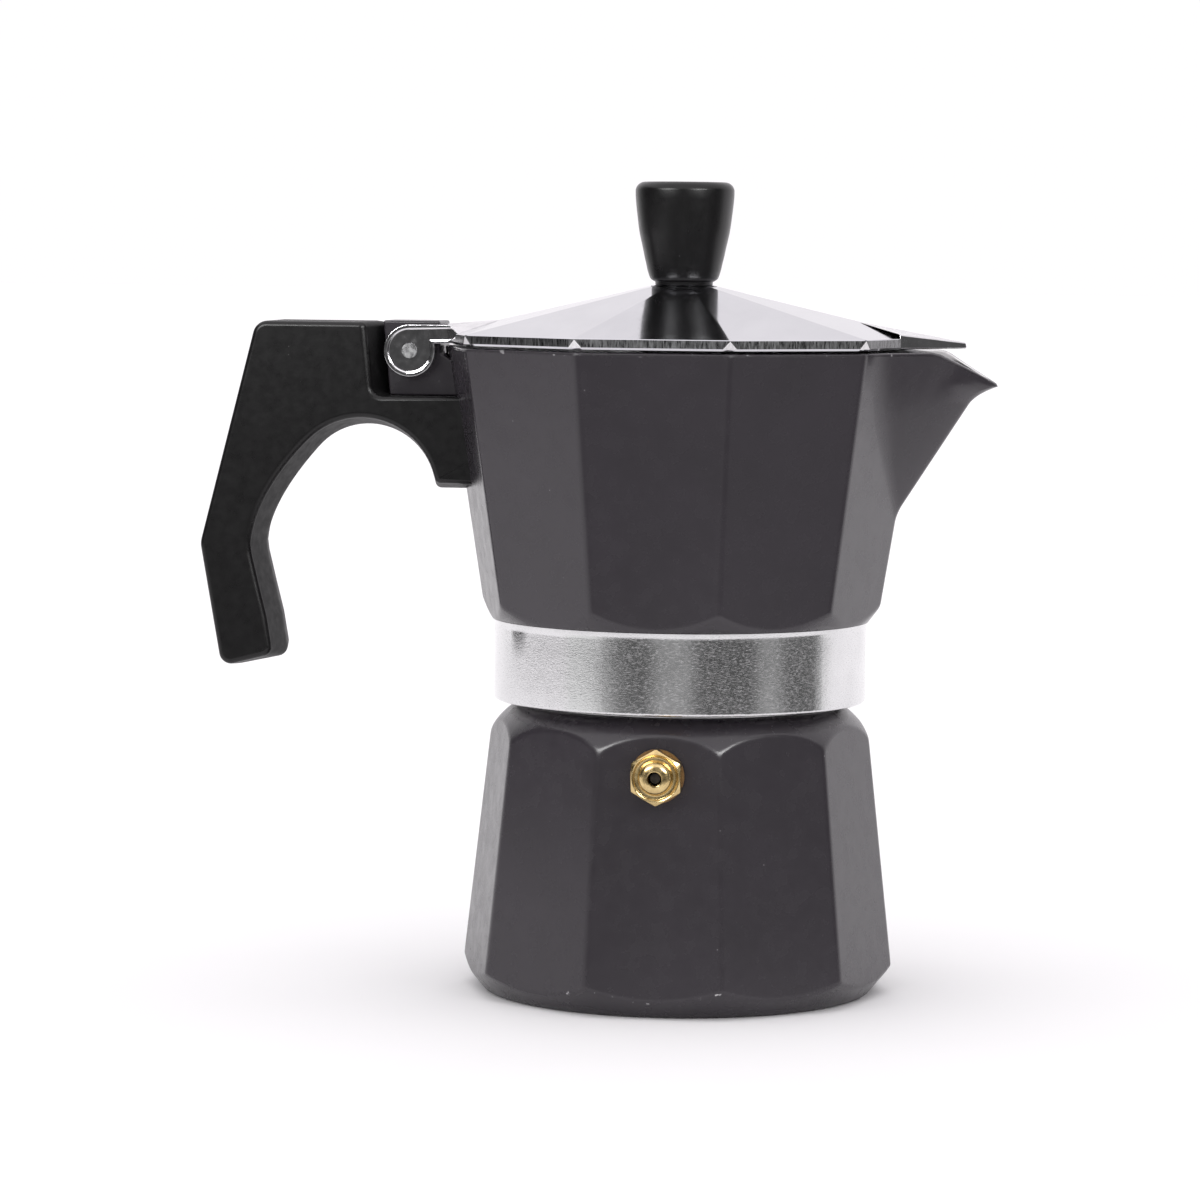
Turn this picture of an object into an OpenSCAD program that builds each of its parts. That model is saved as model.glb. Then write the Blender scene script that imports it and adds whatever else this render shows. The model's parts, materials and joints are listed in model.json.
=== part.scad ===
// Stovetop moka pot: faceted boiler, screw-on collector with a hinged lid, bakelite knob and handle.
// +Z is up, +X points to the spout, -X to the handle, and -Y faces the safety valve.
// The origin is the centre of the flat base.

/* [Boiler] */
// Number of flat facets round each vessel
facets = 10; // [10:4:14]
// Radius to the facet corners where the boiler walls meet the plane of the base
boiler_low_r = 43.66; // [42:0.01:45]
// Radius to the facet corners at the height of the shoulder
boiler_high_r = 37.3; // [36.8:0.01:38]
// Height at which the boiler's upper corner radius is measured
boiler_high_z = 57.2; // [56:0.1:58]
// Radius of the flat base
base_r = 38.6; // [36:0.1:40]
// Radius of the turned foot chamfer at its upper end
foot_r = 43.6; // [43:0.1:45]
// Height of the turned foot chamfer
foot_h = 6; // [4:0.1:8]
// Thickness of the boiler walls
boiler_wall = 3; // [2.6:0.1:3.4]
// Angle of the boiler under the collector when it is screwed tight
tight_angle = 1.2; // [-3:0.1:3]

/* [Neck and thread] */
// Core radius of the boiler's neck, at the bottom of its thread
neck_r = 32; // [31.5:0.1:32.2]
// Height of the neck's upper edge, where the funnel hangs
neck_top = 66; // [65.8:0.1:66.4]
// Rise of the thread in one turn
pitch = 3; // [2.8:0.1:3.2]
// Height of the thread ridge above its core
ridge_h = 1.05; // [0.8:0.05:1.1]

/* [Collector] */
// Radius to the facet corners at the collector's lower edge
vessel_low_r = 39.47; // [39:0.01:40]
// Radius to the facet corners at the collector's rim
vessel_high_r = 48; // [47:0.01:49]
// Height of the seam between the bare collar and the faceted vessel
collar_top = 73.8; // [73:0.1:75]
// Height of the collar's lower edge
collar_bottom = 57.75; // [57.6:0.01:58.4]
// Outer radius of the bare collar
collar_r = 36.96; // [36.5:0.01:37.4]
// Height of the collector's painted rim
rim_z = 127.1; // [126:0.1:128]
// Thickness of the collector walls
vessel_wall = 2.6; // [2:0.1:3]

/* [Spout] */
// Height at which the spout's keel leaves the vessel's corner
keel_low_z = 95.7; // [92:0.1:100]
// Half of the angle between the spout's two sides
spout_half_angle = 49.4; // [46:0.1:52]
// Reach of the pouring tip from the axis
tip_x = 62.4; // [61:0.1:64]
// Height of the pouring tip
tip_z = 120.74; // [119:0.01:122]

/* [Lid] */
// Radius to the corners of the lid's rim
lid_r = 48.2; // [47.5:0.1:48.6]
// Height of the underside of the lid's rim
lid_low_z = 127.9; // [127.9:0.1:128.4]
// Height of the rim band, where the lid's slope starts
lid_rim_h = 2.15; // [1.8:0.05:2.6]
// Height of the flat seat under the knob
lid_top_z = 139.7; // [139:0.1:140.4]
// Thickness of the lid
lid_wall = 1.5; // [1.2:0.1:1.8]

/* [Hinge] */
// Distance of the hinge pin from the axis
hinge_x = -53.7; // [-54:0.1:-53.4]
// Height of the hinge pin
hinge_z = 126.4; // [126.2:0.1:126.6]
// Radius of the round hinge ears
ear_r = 5.15; // [4.8:0.05:5.3]
// Radius of the hinge pin
pin_r = 1.5; // [1.2:0.1:1.8]

/* [Knob] */
// Overall height of the pot, to the top of the knob
knob_top = 160.2; // [159:0.1:162]
// Largest radius of the knob, near its top
knob_r = 9.8; // [9:0.1:10.5]

/* [Handle] */
// Thickness of the handle
handle_t = 18; // [17:0.5:19]

/* [Valve] */
// Height of the safety valve above the base
valve_z = 46.4; // [44:0.1:47]
// Size of the valve's hexagon across its flats
valve_flats = 9.5; // [9:0.1:10]

/* [Hidden] */
$fn = 96;
eps = 0.02;
running_gap = 0.05;
apothem = cos(180 / facets);

boiler_slope = (boiler_high_r - boiler_low_r) / boiler_high_z;
vessel_slope = (vessel_high_r - vessel_low_r) / (rim_z - collar_top);
// Arc of the turned shoulder between the boiler's facets and its neck
dome_centre = [25, 44.5];
dome_r = 14.3;
floor_t = 3.2;
neck_bore_r = 29.4;

// Thread: both helices share the pitch, and the collar's one runs in the gap of the neck's one
thread_z = 59;
thread_clear = 0.35;
thread_steps = 30;
neck_turns = 2;
collar_turns = 1.75;
collar_bore_r = neck_r + ridge_h + thread_clear;

// Parts stacked between the boiler's neck and the collector's floor
funnel_t = 0.8;
funnel_flange_r = 31.6;
gasket_low_z = neck_top + funnel_t + 0.15;
gasket_t = 2.9;
gasket_r = 32.5;
gasket_bore_r = 26.2;
seat_z = gasket_low_z + gasket_t + 0.1;
plate_r = 26.1;
plate_t = 0.6;
vessel_floor_z = 76.6;
column_r = 5;
column_low_z = 73.2;
column_top_z = 116;

// Funnel: basket for the coffee, cone and stem that reaches down to the water
basket_r = 29.1;
basket_low_z = 46;
funnel_cone_z = 41.5;
stem_r = 4.6;
stem_low_z = 7.5;
stem_top_z = 39.4;
funnel_neck_z = 37.9;

// Keel of the spout: straight up to the flare, then curving out to the tip
keel_high = [55.95, 116.03];
keel_flare = [59.3, 119.05];
lip_edge_x = 50.5;
lip_arc_r = ((tip_x - lip_edge_x) * (tip_x - lip_edge_x) + (rim_z - tip_z) * (rim_z - tip_z))
    / (2 * (rim_z - tip_z));
spout_wall = 2.2;

lug_half = 5.5;
ear_low_y = 5.8;
ear_t = 2.2;
lug_top_z = 132.3;
lug_end_x = -59.6;
lug_root_x = -48;
lid_notch_x = -44.3;
shelf_z = 117.4;

// Screw up through the handle's arm into the lug, and the counterbore's end that its washer meets
screw_x = -54;
screw_seat_z = 112;
washer_t = 0.7;

valve_face_y = -(boiler_low_r + boiler_slope * valve_z) * apothem - 0.35;
valve_shank_r = 3.9;
valve_wall_y = -31.6;

function boiler_r(z) = boiler_low_r + boiler_slope * z;
function vessel_r(z) = vessel_low_r + vessel_slope * (z - collar_top);
function arc(centre, r, from, to, steps) =
    [for (i = [0 : steps]) let (a = from + (to - from) * i / steps) centre + r * [cos(a), sin(a)]];
function curve(p, q, r, steps) =
    [for (i = [0 : steps]) let (t = i / steps) (1 - t) * (1 - t) * p + 2 * t * (1 - t) * q + t * t * r];

// A corner of an outline, rounded with radius r between its two neighbours
function rounded(before, corner, after, r, steps = 6) =
    let (
        u = (before - corner) / norm(before - corner),
        v = (after - corner) / norm(after - corner),
        half = acos(u * v) / 2,
        centre = corner + (u + v) / norm(u + v) * r / sin(half),
        from = atan2((corner + u * r / tan(half) - centre).y, (corner + u * r / tan(half) - centre).x),
        to = atan2((corner + v * r / tan(half) - centre).y, (corner + v * r / tan(half) - centre).x),
        turn = to - from > 180 ? to - from - 360 : to - from < -180 ? to - from + 360 : to - from
    )
    arc(centre, r, from, from + turn, steps);

// Faceted cone with flat sides, its corners on +X and -X
module faceted_cone(r_low, r_high, z_low, z_high) {
    translate([0, 0, z_low])
        cylinder(r1 = r_low, r2 = r_high, h = z_high - z_low, $fn = facets);
}

module disc(r, z_low, z_high) {
    translate([0, 0, z_low])
        cylinder(r = r, h = z_high - z_low);
}

// Turned along -Y, from y_from out to y_to, at the valve's height
module valve_turning(r, y_from, y_to, sides = 64) {
    translate([0, y_from, valve_z])
        rotate([90, 0, 0])
            rotate(sides == 6 ? 30 : 0)
                cylinder(r = r, h = y_from - y_to, $fn = sides);
}

// Helical thread ridge, with its base sunk into the wall that carries it
module thread_ridge(base_r, crest_r, z_start, angle_start, turns) {
    count = round(turns * thread_steps);
    corners = [[base_r, -0.8], [crest_r, -0.35], [crest_r, 0.35], [base_r, 0.8]];
    points = [for (i = [0 : count], c = corners)
        let (a = angle_start + 360 * i / thread_steps)
        [c.x * cos(a), c.x * sin(a), z_start + pitch * i / thread_steps + c.y]];
    outward = crest_r > base_r;
    sides = [for (i = [0 : count - 1], k = [0 : 3])
        let (a = 4 * i + k, b = 4 * i + (k + 1) % 4)
        outward ? [a, a + 4, b + 4, b] : [a, b, b + 4, a + 4]];
    ends = outward
        ? [[0, 1, 2, 3], [4 * count + 3, 4 * count + 2, 4 * count + 1, 4 * count]]
        : [[3, 2, 1, 0], [4 * count, 4 * count + 1, 4 * count + 2, 4 * count + 3]];
    polyhedron(points, concat(sides, ends), convexity = 10);
}

// Round holes on a hexagonal grid, within the radius reach
module hole_grid(hole_r, spacing, reach, z_low, z_high) {
    rows = floor(reach / (spacing * sin(60)));
    for (j = [-rows : rows], i = [-2 * rows : 2 * rows]) {
        x = spacing * (i + (abs(j) % 2) / 2);
        y = spacing * sin(60) * j;
        if (norm([x, y]) <= reach)
            translate([x, y, z_low])
                cylinder(r = hole_r, h = z_high - z_low, $fn = 16);
    }
}

module boiler() {
    color("#4b474b")
        rotate(tight_angle)
            difference() {
                union() {
                    intersection() {
                        faceted_cone(boiler_r(0), boiler_r(boiler_high_z + 1), 0, boiler_high_z + 1);
                        rotate_extrude()
                            polygon(concat([[0, 0], [base_r, 0], [foot_r, foot_h]],
                                arc(dome_centre, dome_r, 22, 90, 16), [[0, dome_centre.y + dome_r]]));
                    }
                    disc(neck_r, 50, neck_top);
                    thread_ridge(neck_r - 0.5, neck_r + ridge_h, thread_z, 0, neck_turns);
                }
                boiler_cavity();
                valve_turning(valve_shank_r, -30, -50);
                valve_turning(valve_flats * 0.62, valve_face_y, -50);
            }
}

// Turned inside of the boiler, with its neck bore
module boiler_cavity() {
    low_r = boiler_r(floor_t + 3) * apothem - boiler_wall;
    high_r = boiler_r(48) * apothem - boiler_wall;
    rotate_extrude()
        polygon(concat([[0, floor_t]], arc([low_r - 4, floor_t + 4], 4, -90, 0, 5),
            arc([high_r - 6, 47], 6, 0, 70, 5), [[neck_bore_r, 56], [neck_bore_r, neck_top + 1],
            [0, neck_top + 1]]));
}

module valve_body() {
    hex_y = valve_face_y - 0.6;
    color("#b08a45")
        rotate(tight_angle)
            difference() {
                union() {
                    valve_turning(valve_shank_r - eps, valve_wall_y, hex_y - eps);
                    intersection() {
                        valve_turning(valve_flats / 2 / cos(30), hex_y, hex_y - 3, 6);
                        valve_turning(valve_flats * 0.565, hex_y, hex_y - 3);
                    }
                    valve_turning(3.9, hex_y - 3 + eps, hex_y - 3.7);
                    valve_turning(2.7, hex_y - 3.7 + eps, hex_y - 4.8);
                }
                valve_turning(1.25, valve_wall_y + 1, hex_y - 6);
                valve_turning(2.7, valve_wall_y + 1, hex_y - 2.6);
            }
}

module valve_seal() {
    color("#9c5b34")
        rotate(tight_angle)
            difference() {
                valve_turning(valve_flats * 0.55, valve_face_y, valve_face_y - 0.6);
                valve_turning(valve_shank_r, valve_face_y + 1, valve_face_y - 1);
            }
}

module valve_seat() {
    color("#b8975a")
        rotate(tight_angle)
            difference() {
                valve_turning(2.7 - eps, valve_wall_y - 0.2, valve_wall_y - 1.7);
                valve_turning(1.1, valve_wall_y, valve_wall_y - 3);
            }
}

module valve_poppet() {
    face_y = valve_wall_y - 1.75;
    color("#c9c6bf")
        rotate(tight_angle) {
            valve_turning(2.3, face_y, face_y - 0.9);
            valve_turning(0.95, face_y - 0.8, valve_face_y - 4.1);
        }
}

// Compression spring between the poppet's flange and the front wall of the valve's chamber
module valve_spring() {
    wire_r = 0.25;
    coil_r = 1.75;
    from_y = valve_wall_y - 2.7 - wire_r;
    to_y = valve_face_y - 3.15 + wire_r;
    turns = 5;
    steps = 14;
    count = turns * steps;
    sides = 6;
    points = [for (i = [0 : count], k = [0 : sides - 1])
        let (a = 360 * i / steps, b = 360 * k / sides, r = coil_r + wire_r * cos(b))
        [r * cos(a), from_y + (to_y - from_y) * i / count + wire_r * sin(b), valve_z + r * sin(a)]];
    tube = [for (i = [0 : count - 1], k = [0 : sides - 1])
        let (a = sides * i + k, b = sides * i + (k + 1) % sides) [a, a + sides, b + sides, b]];
    ends = [[for (k = [0 : sides - 1]) k], [for (k = [sides - 1 : -1 : 0]) sides * count + k]];
    color("#d0d0d0")
        rotate(tight_angle)
            polyhedron(points, concat(tube, ends), convexity = 12);
}

// Basket and cone, with a short neck that the stem is pressed into
module funnel() {
    inner = basket_r - funnel_t;
    color("#c4c5c8")
        rotate_extrude()
            polygon([
                [stem_r + eps, funnel_neck_z], [stem_r + funnel_t, funnel_neck_z],
                [stem_r + funnel_t, funnel_cone_z - 2], [basket_r - 1, basket_low_z - 1.2],
                [basket_r, basket_low_z], [basket_r, neck_top], [funnel_flange_r, neck_top],
                [funnel_flange_r, neck_top + funnel_t], [inner, neck_top + funnel_t],
                [inner, basket_low_z + 0.6], [inner - 1.2, basket_low_z + 0.6],
                [inner - 1.8, basket_low_z - 0.6], [stem_r - funnel_t, funnel_cone_z - 1.4],
                [stem_r - funnel_t, stem_top_z + eps], [stem_r + eps, stem_top_z + eps],
            ]);
}

module funnel_stem() {
    color("#bcbdc0")
        difference() {
            disc(stem_r, stem_low_z, stem_top_z);
            disc(stem_r - funnel_t, stem_low_z - 1, stem_top_z + 1);
        }
}

module funnel_screen() {
    screen_z = basket_low_z + 0.6;
    color("#b9babd")
        difference() {
            disc(basket_r - funnel_t - 0.05, screen_z, screen_z + 0.6);
            hole_grid(0.7, 4.6, 23.5, screen_z - 1, screen_z + 2);
        }
}

module gasket() {
    color("#d9d6cf")
        rotate_extrude()
            translate([(gasket_bore_r + gasket_r) / 2, gasket_low_z + gasket_t / 2])
                square([gasket_r - gasket_bore_r, gasket_t], center = true);
}

module filter_plate() {
    plate_z = gasket_low_z + 0.3;
    color("#c2c3c6")
        difference() {
            disc(plate_r, plate_z, gasket_low_z + gasket_t);
            disc(plate_r - plate_t, plate_z + plate_t, gasket_low_z + gasket_t + 1);
            hole_grid(0.7, 4.6, 21.5, plate_z - 1, plate_z + 2);
        }
}

// Horizontal section of the spout at one height: a kite from the axis out to the keel
function spout_section(x_keel, z) =
    let (
        side = 360 / facets,
        corner = x_keel * tan(spout_half_angle) / (tan(spout_half_angle) + tan(side))
    )
    [[x_keel, 0, z], [corner, corner * tan(side), z], [10, 0, z], [corner, -corner * tan(side), z]];

// Wedge of the spout, its sides moved inward by inset
module spout_wedge(inset) {
    shift = inset / sin(spout_half_angle);
    stations = [
        [vessel_r(keel_low_z) - 0.1, keel_low_z], keel_high, keel_flare,
        [tip_x + 1.2, tip_z + 0.6], [tip_x + 1.6, rim_z + (inset > 0 ? 2 : 0)]
    ];
    points = [for (s = stations, p = spout_section(s.x - shift, s.y)) p];
    last = 4 * (len(stations) - 1);
    sides = [for (i = [0 : len(stations) - 2], k = [0 : 3])
        let (a = 4 * i + k, b = 4 * i + (k + 1) % 4) [a, a + 4, b + 4, b]];
    polyhedron(points, concat([[0, 1, 2, 3]], sides, [[last + 3, last + 2, last + 1, last]]), convexity = 6);
}

// Block that trims the spout's top edge down to the tip along an arc
module lip_trim() {
    tip_angle = asin((tip_z - rim_z + lip_arc_r) / lip_arc_r);
    rotate([90, 0, 0])
        linear_extrude(120, center = true)
            polygon(concat([[lip_edge_x + 0.6, rim_z + 5], [lip_edge_x + 0.6, rim_z]],
                arc([lip_edge_x, rim_z - lip_arc_r], lip_arc_r, 82, tip_angle - 4, 8),
                [[tip_x + 8, tip_z - 8], [tip_x + 8, rim_z + 5]]));
}

// Tongue behind the rim that carries the hinge pin and is held down in the handle
module lug() {
    rotate([90, 0, 0])
        linear_extrude(2 * lug_half, center = true)
            polygon(concat(
                [[-42, shelf_z], [lug_end_x + 1.5, shelf_z]],
                rounded([lug_end_x + 1.5, shelf_z], [lug_end_x, lug_top_z], [lug_root_x, lug_top_z], 0.8),
                rounded([lug_end_x, lug_top_z], [lug_root_x, lug_top_z], [lug_root_x, rim_z], 1),
                [[lug_root_x, rim_z], [-44, rim_z - 3]]
            ));
}

module collector() {
    wall = vessel_wall / apothem;
    color("#4b474b")
        difference() {
            union() {
                intersection() {
                    union() {
                        faceted_cone(vessel_r(collar_top - 1), vessel_high_r, collar_top - 1, rim_z);
                        faceted_cone(vessel_r(rim_z - 8) - 1.2, vessel_high_r - 1.15, rim_z - 8, rim_z + 0.5);
                    }
                    rotate_extrude()
                        polygon([[0, collar_top - 1], [collar_r, collar_top - 1], [collar_r, collar_top],
                            [vessel_r(77.8) + 0.3, 77.8], [60, 90], [60, 140], [0, 140]]);
                }
                rotate_extrude()
                    polygon([[collar_bore_r - 0.6, collar_bottom], [collar_r - 0.5, collar_bottom],
                        [collar_r, collar_bottom + 0.6], [collar_r, collar_top], [collar_bore_r - 0.6, collar_top]]);
                difference() {
                    spout_wedge(0);
                    lip_trim();
                }
                lug();
            }
            // Inside of the vessel and the open channel of the spout
            faceted_cone(vessel_r(vessel_floor_z) - wall, vessel_r(rim_z + 3) - wall, vessel_floor_z, rim_z + 3);
            intersection() {
                spout_wedge(spout_wall);
                translate([0, -50, vessel_floor_z + 5])
                    cube([100, 100, 60]);
            }
            // Thread bore, gasket seat and the shallow cone that leads to the column
            difference() {
                rotate_extrude()
                    polygon([[0, collar_bottom - 1], [collar_bore_r, collar_bottom - 1],
                        [collar_bore_r, neck_top + 0.2], [gasket_r + 0.1, neck_top + 0.6],
                        [gasket_r + 0.1, seat_z], [gasket_bore_r - 2, seat_z], [column_r + 2, column_low_z],
                        [0, column_low_z]]);
                thread_ridge(collar_bore_r + 0.5, collar_bore_r - ridge_h, thread_z, 180, collar_turns);
            }
            disc(column_r, column_low_z - 1, vessel_floor_z + 2);
            translate([hinge_x, 0, hinge_z])
                rotate([90, 0, 0])
                    cylinder(r = pin_r + running_gap, h = 30, center = true);
            translate([screw_x, 0, shelf_z - 1])
                cylinder(r = 1.75, h = 8, $fn = 32);
        }
}

module coffee_column() {
    color("#bfc0c3")
        difference() {
            union() {
                disc(column_r - eps, column_low_z, vessel_floor_z + 0.3);
                translate([0, 0, vessel_floor_z + 0.3])
                    cylinder(r1 = column_r + 1.4, r2 = column_r + 0.4, h = 3);
                translate([0, 0, vessel_floor_z + 3.2])
                    cylinder(r1 = column_r + 0.4, r2 = column_r - 0.6, h = column_top_z - vessel_floor_z - 3.2);
            }
            translate([0, 0, column_low_z - 1])
                cylinder(r1 = column_r - 1.2, r2 = column_r - 1.9, h = column_top_z - column_low_z - 1);
            // Slits near the closed top, where the coffee wells out
            for (side = [-1, 1])
                translate([side * column_r, 0, column_top_z - 6])
                    cube([column_r * 1.2, 2.2, 6], center = true);
        }
}

// Triangle of the lid's nose over the spout, in plan
function nose_plan(inset) = [[30, 0], [43.9 - inset, -12.7 + inset], [56.3 - 1.5 * inset, 0], [43.9 - inset, 12.7 - inset]];

module lid() {
    rim_top = lid_low_z + lid_rim_h;
    inner = lid_wall / apothem;
    color("#cfcdd3")
        difference() {
            union() {
                faceted_cone(lid_r, lid_r, lid_low_z, rim_top);
                faceted_cone(lid_r, 6.6, rim_top, lid_top_z);
                disc(6.6, lid_top_z - 1, lid_top_z + 0.2);
                // Nose over the spout
                hull() {
                    translate([0, 0, lid_low_z])
                        linear_extrude(1)
                            polygon(nose_plan(0));
                    translate([0, 0, lid_low_z])
                        linear_extrude(3.2)
                            polygon([[30, 0], [42.6, -11.6], [44, 0], [42.6, 11.6]]);
                }
                // Bridge to the hinge ears
                translate([-46.2, -8, lid_low_z])
                    cube([10.5, 16, 131.9 - lid_low_z]);
                for (side = [-1, 1])
                    hinge_ear(side);
            }
            // Hollow underside
            difference() {
                union() {
                    faceted_cone(lid_r - 1.6, lid_r - 1.6, lid_low_z - 1, lid_low_z + 0.9);
                    faceted_cone(lid_r - 1.6, 5, lid_low_z + 0.9 - eps, lid_top_z - inner);
                }
                translate([-60, -9.5, lid_low_z - 2])
                    cube([60 - 34, 19, 20]);
            }
            // Notch that clears the lug as the lid swings
            translate([-60, -lug_half - 0.3, lid_low_z - 1])
                cube([60 + lid_notch_x, 2 * lug_half + 0.6, 10]);
            // Corner of the rim outside the ears, cut level with their neck
            for (side = [0, 1])
                mirror([0, side, 0])
                    translate([-60, 8, lid_low_z - 1])
                        cube([60 - 45.6, 10, 10]);
            translate([hinge_x, 0, hinge_z])
                rotate([90, 0, 0])
                    cylinder(r = pin_r, h = 30, center = true, $fn = 48);
            disc(2.15, lid_top_z - 4, lid_top_z + 1);
        }
}

module hinge_ear(side) {
    translate([0, side * (ear_low_y + ear_t / 2), 0])
        rotate([90, 0, 0])
            translate([0, 0, -ear_t / 2]) {
                translate([hinge_x, hinge_z])
                    cylinder(r = ear_r, h = ear_t);
                linear_extrude(ear_t)
                    polygon([[hinge_x, hinge_z + ear_r], [-44, hinge_z + ear_r], [-44, lid_low_z],
                        [-46.9, lid_low_z], [-48.4, lid_low_z - 0.9], [hinge_x + 4.6, hinge_z - 2.4],
                        [hinge_x, hinge_z]]);
            }
}

module hinge_pin() {
    half = ear_low_y + ear_t + 0.3;
    color("#b7b8ba")
        translate([hinge_x, half, hinge_z])
            rotate([90, 0, 0])
                cylinder(r = pin_r - eps / 2, h = 2 * half, $fn = 48);
}

module knob() {
    foot_z = lid_top_z + 0.2;
    side = curve([7.05, foot_z + 2], [8.9, foot_z + 9.5], [knob_r, knob_top - 3], 8);
    color("#222122")
        difference() {
            rotate_extrude()
                polygon(concat([[0, foot_z], [5.85, foot_z], [5.85, foot_z + 1.1], [6.5, foot_z + 1.4]],
                    side, arc([knob_r - 1.6, knob_top - 1.6], 1.6, 0, 90, 6), [[0, knob_top]]));
            disc(3.2, foot_z - 1, foot_z + 10.5);
        }
}

module knob_insert() {
    foot_z = lid_top_z + 0.2;
    color("#b8944f")
        difference() {
            union() {
                disc(3.2 - eps, foot_z + 0.3, foot_z + 3.6);
                disc(2.8, foot_z + 3.5, foot_z + 5.7);
                disc(3.2 - eps, foot_z + 5.6, foot_z + 9.5);
            }
            disc(2, foot_z - 1, foot_z + 10);
        }
}

module knob_screw() {
    head_z = lid_top_z - lid_wall / apothem - 0.75;
    color("#b9babc")
        difference() {
            union() {
                disc(2 - eps, head_z - 1, lid_top_z + 8.8);
                rotate_extrude()
                    polygon([[0, head_z - 2.4], [2.6, head_z - 2.4], [3.6, head_z - 1.4], [3.6, head_z], [0, head_z]]);
            }
            // Cross recess
            for (turn = [0, 90])
                rotate(turn)
                    translate([0, 0, head_z - 2])
                        cube([4, 0.9, 2], center = true);
        }
}

module knob_washer() {
    top_z = lid_top_z - lid_wall / apothem;
    color("#a9aaad")
        difference() {
            disc(4.6, top_z - 0.75, top_z - 0.02);
            disc(2.15, top_z - 2, top_z + 1);
        }
}

// Inner edge of the handle, from the grip's end round the arch to the arm; inset draws it back
function grip_edge(inset) = concat(
    [[-80.9 - inset, 72.9]],
    [[-84 - inset, 85.4]],
    curve([-84.25 - inset, 87.4], [-83.4 - inset, 95.6 + inset], [-73.9 - 0.7 * inset, 106.4 + 0.8 * inset], 9),
    arc([-63.2, 97.8], 13.7 + inset, 138, 8, 16)
);

// Outline of one layer of the handle; the inner edges have draft, so they stand back away from the middle
function handle_outline(inset) = concat(
    rounded([-62, 132], [-84.75, 132], [-96, 87.5], 3),
    rounded([-84.75, 132], [-96, 87.5], [-91.6, 62.2], 5),
    rounded([-96, 87.5], [-91.6, 62.2 + 0.4 * inset], [-79, 64.9 + 0.4 * inset], 2.4),
    rounded([-91.6, 62.2 + 0.4 * inset], [-79.5 - inset, 64.8 + 0.4 * inset], [-84 - inset, 85.4], 2),
    grip_edge(inset),
    [[-49.4 + inset, 98.9 + 0.4 * inset], [-38, 98.9 + 0.4 * inset], [-38, shelf_z]],
    rounded([-38, shelf_z], [-58.2 - 1.8 * inset, shelf_z], [-59.8 - 1.8 * inset, 132], 0.6 + inset),
    [[-59.75 - 1.8 * inset, 132]]
);

module handle() {
    layers = [[0.15, 0, 3], [0.85, 3, 6], [1.5, 6, handle_t / 2]];
    color("#232223")
        difference() {
            for (layer = layers, side = [0, 1])
                mirror([0, side, 0])
                    translate([0, -layer[1] + eps, 0])
                        rotate([90, 0, 0])
                            linear_extrude(layer[2] - layer[1] + eps)
                                polygon(handle_outline(layer[0]));
            // Seat against the vessel's corner
            faceted_cone(vessel_r(90) + 0.15, vessel_r(rim_z) + 0.15, 90, rim_z);
            translate([screw_x, 0, 90])
                cylinder(r = 1.8, h = 40, $fn = 32);
            translate([screw_x, 0, 90])
                cylinder(r = 4, h = screw_seat_z - 90, $fn = 48);
        }
}

module handle_screw() {
    head_z = screw_seat_z - washer_t - 0.04;
    color("#b9babc")
        difference() {
            union() {
                translate([screw_x, 0, head_z - 1])
                    cylinder(r = 1.7, h = shelf_z + 6 - head_z, $fn = 32);
                translate([screw_x, 0, head_z - 2.4])
                    cylinder(r1 = 2.6, r2 = 3.1, h = 2.4, $fn = 48);
            }
            for (turn = [0, 90])
                translate([screw_x, 0, head_z - 2.4])
                    rotate(turn)
                        cube([3.4, 0.8, 2], center = true);
        }
}

module handle_washer() {
    color("#a9aaad")
        translate([screw_x, 0, screw_seat_z - washer_t - eps])
            difference() {
                cylinder(r = 3.8, h = washer_t, $fn = 48);
                translate([0, 0, -1])
                    cylinder(r = 1.8, h = 3, $fn = 32);
            }
}

boiler();
valve_body();
valve_seal();
valve_seat();
valve_poppet();
valve_spring();
funnel();
funnel_stem();
funnel_screen();
gasket();
filter_plate();
collector();
coffee_column();
lid();
hinge_pin();
knob();
knob_insert();
knob_screw();
knob_washer();
handle();
handle_screw();
handle_washer();
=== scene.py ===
import json
import math

import bmesh
import bpy
import numpy as np
from mathutils import Matrix, Vector


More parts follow.
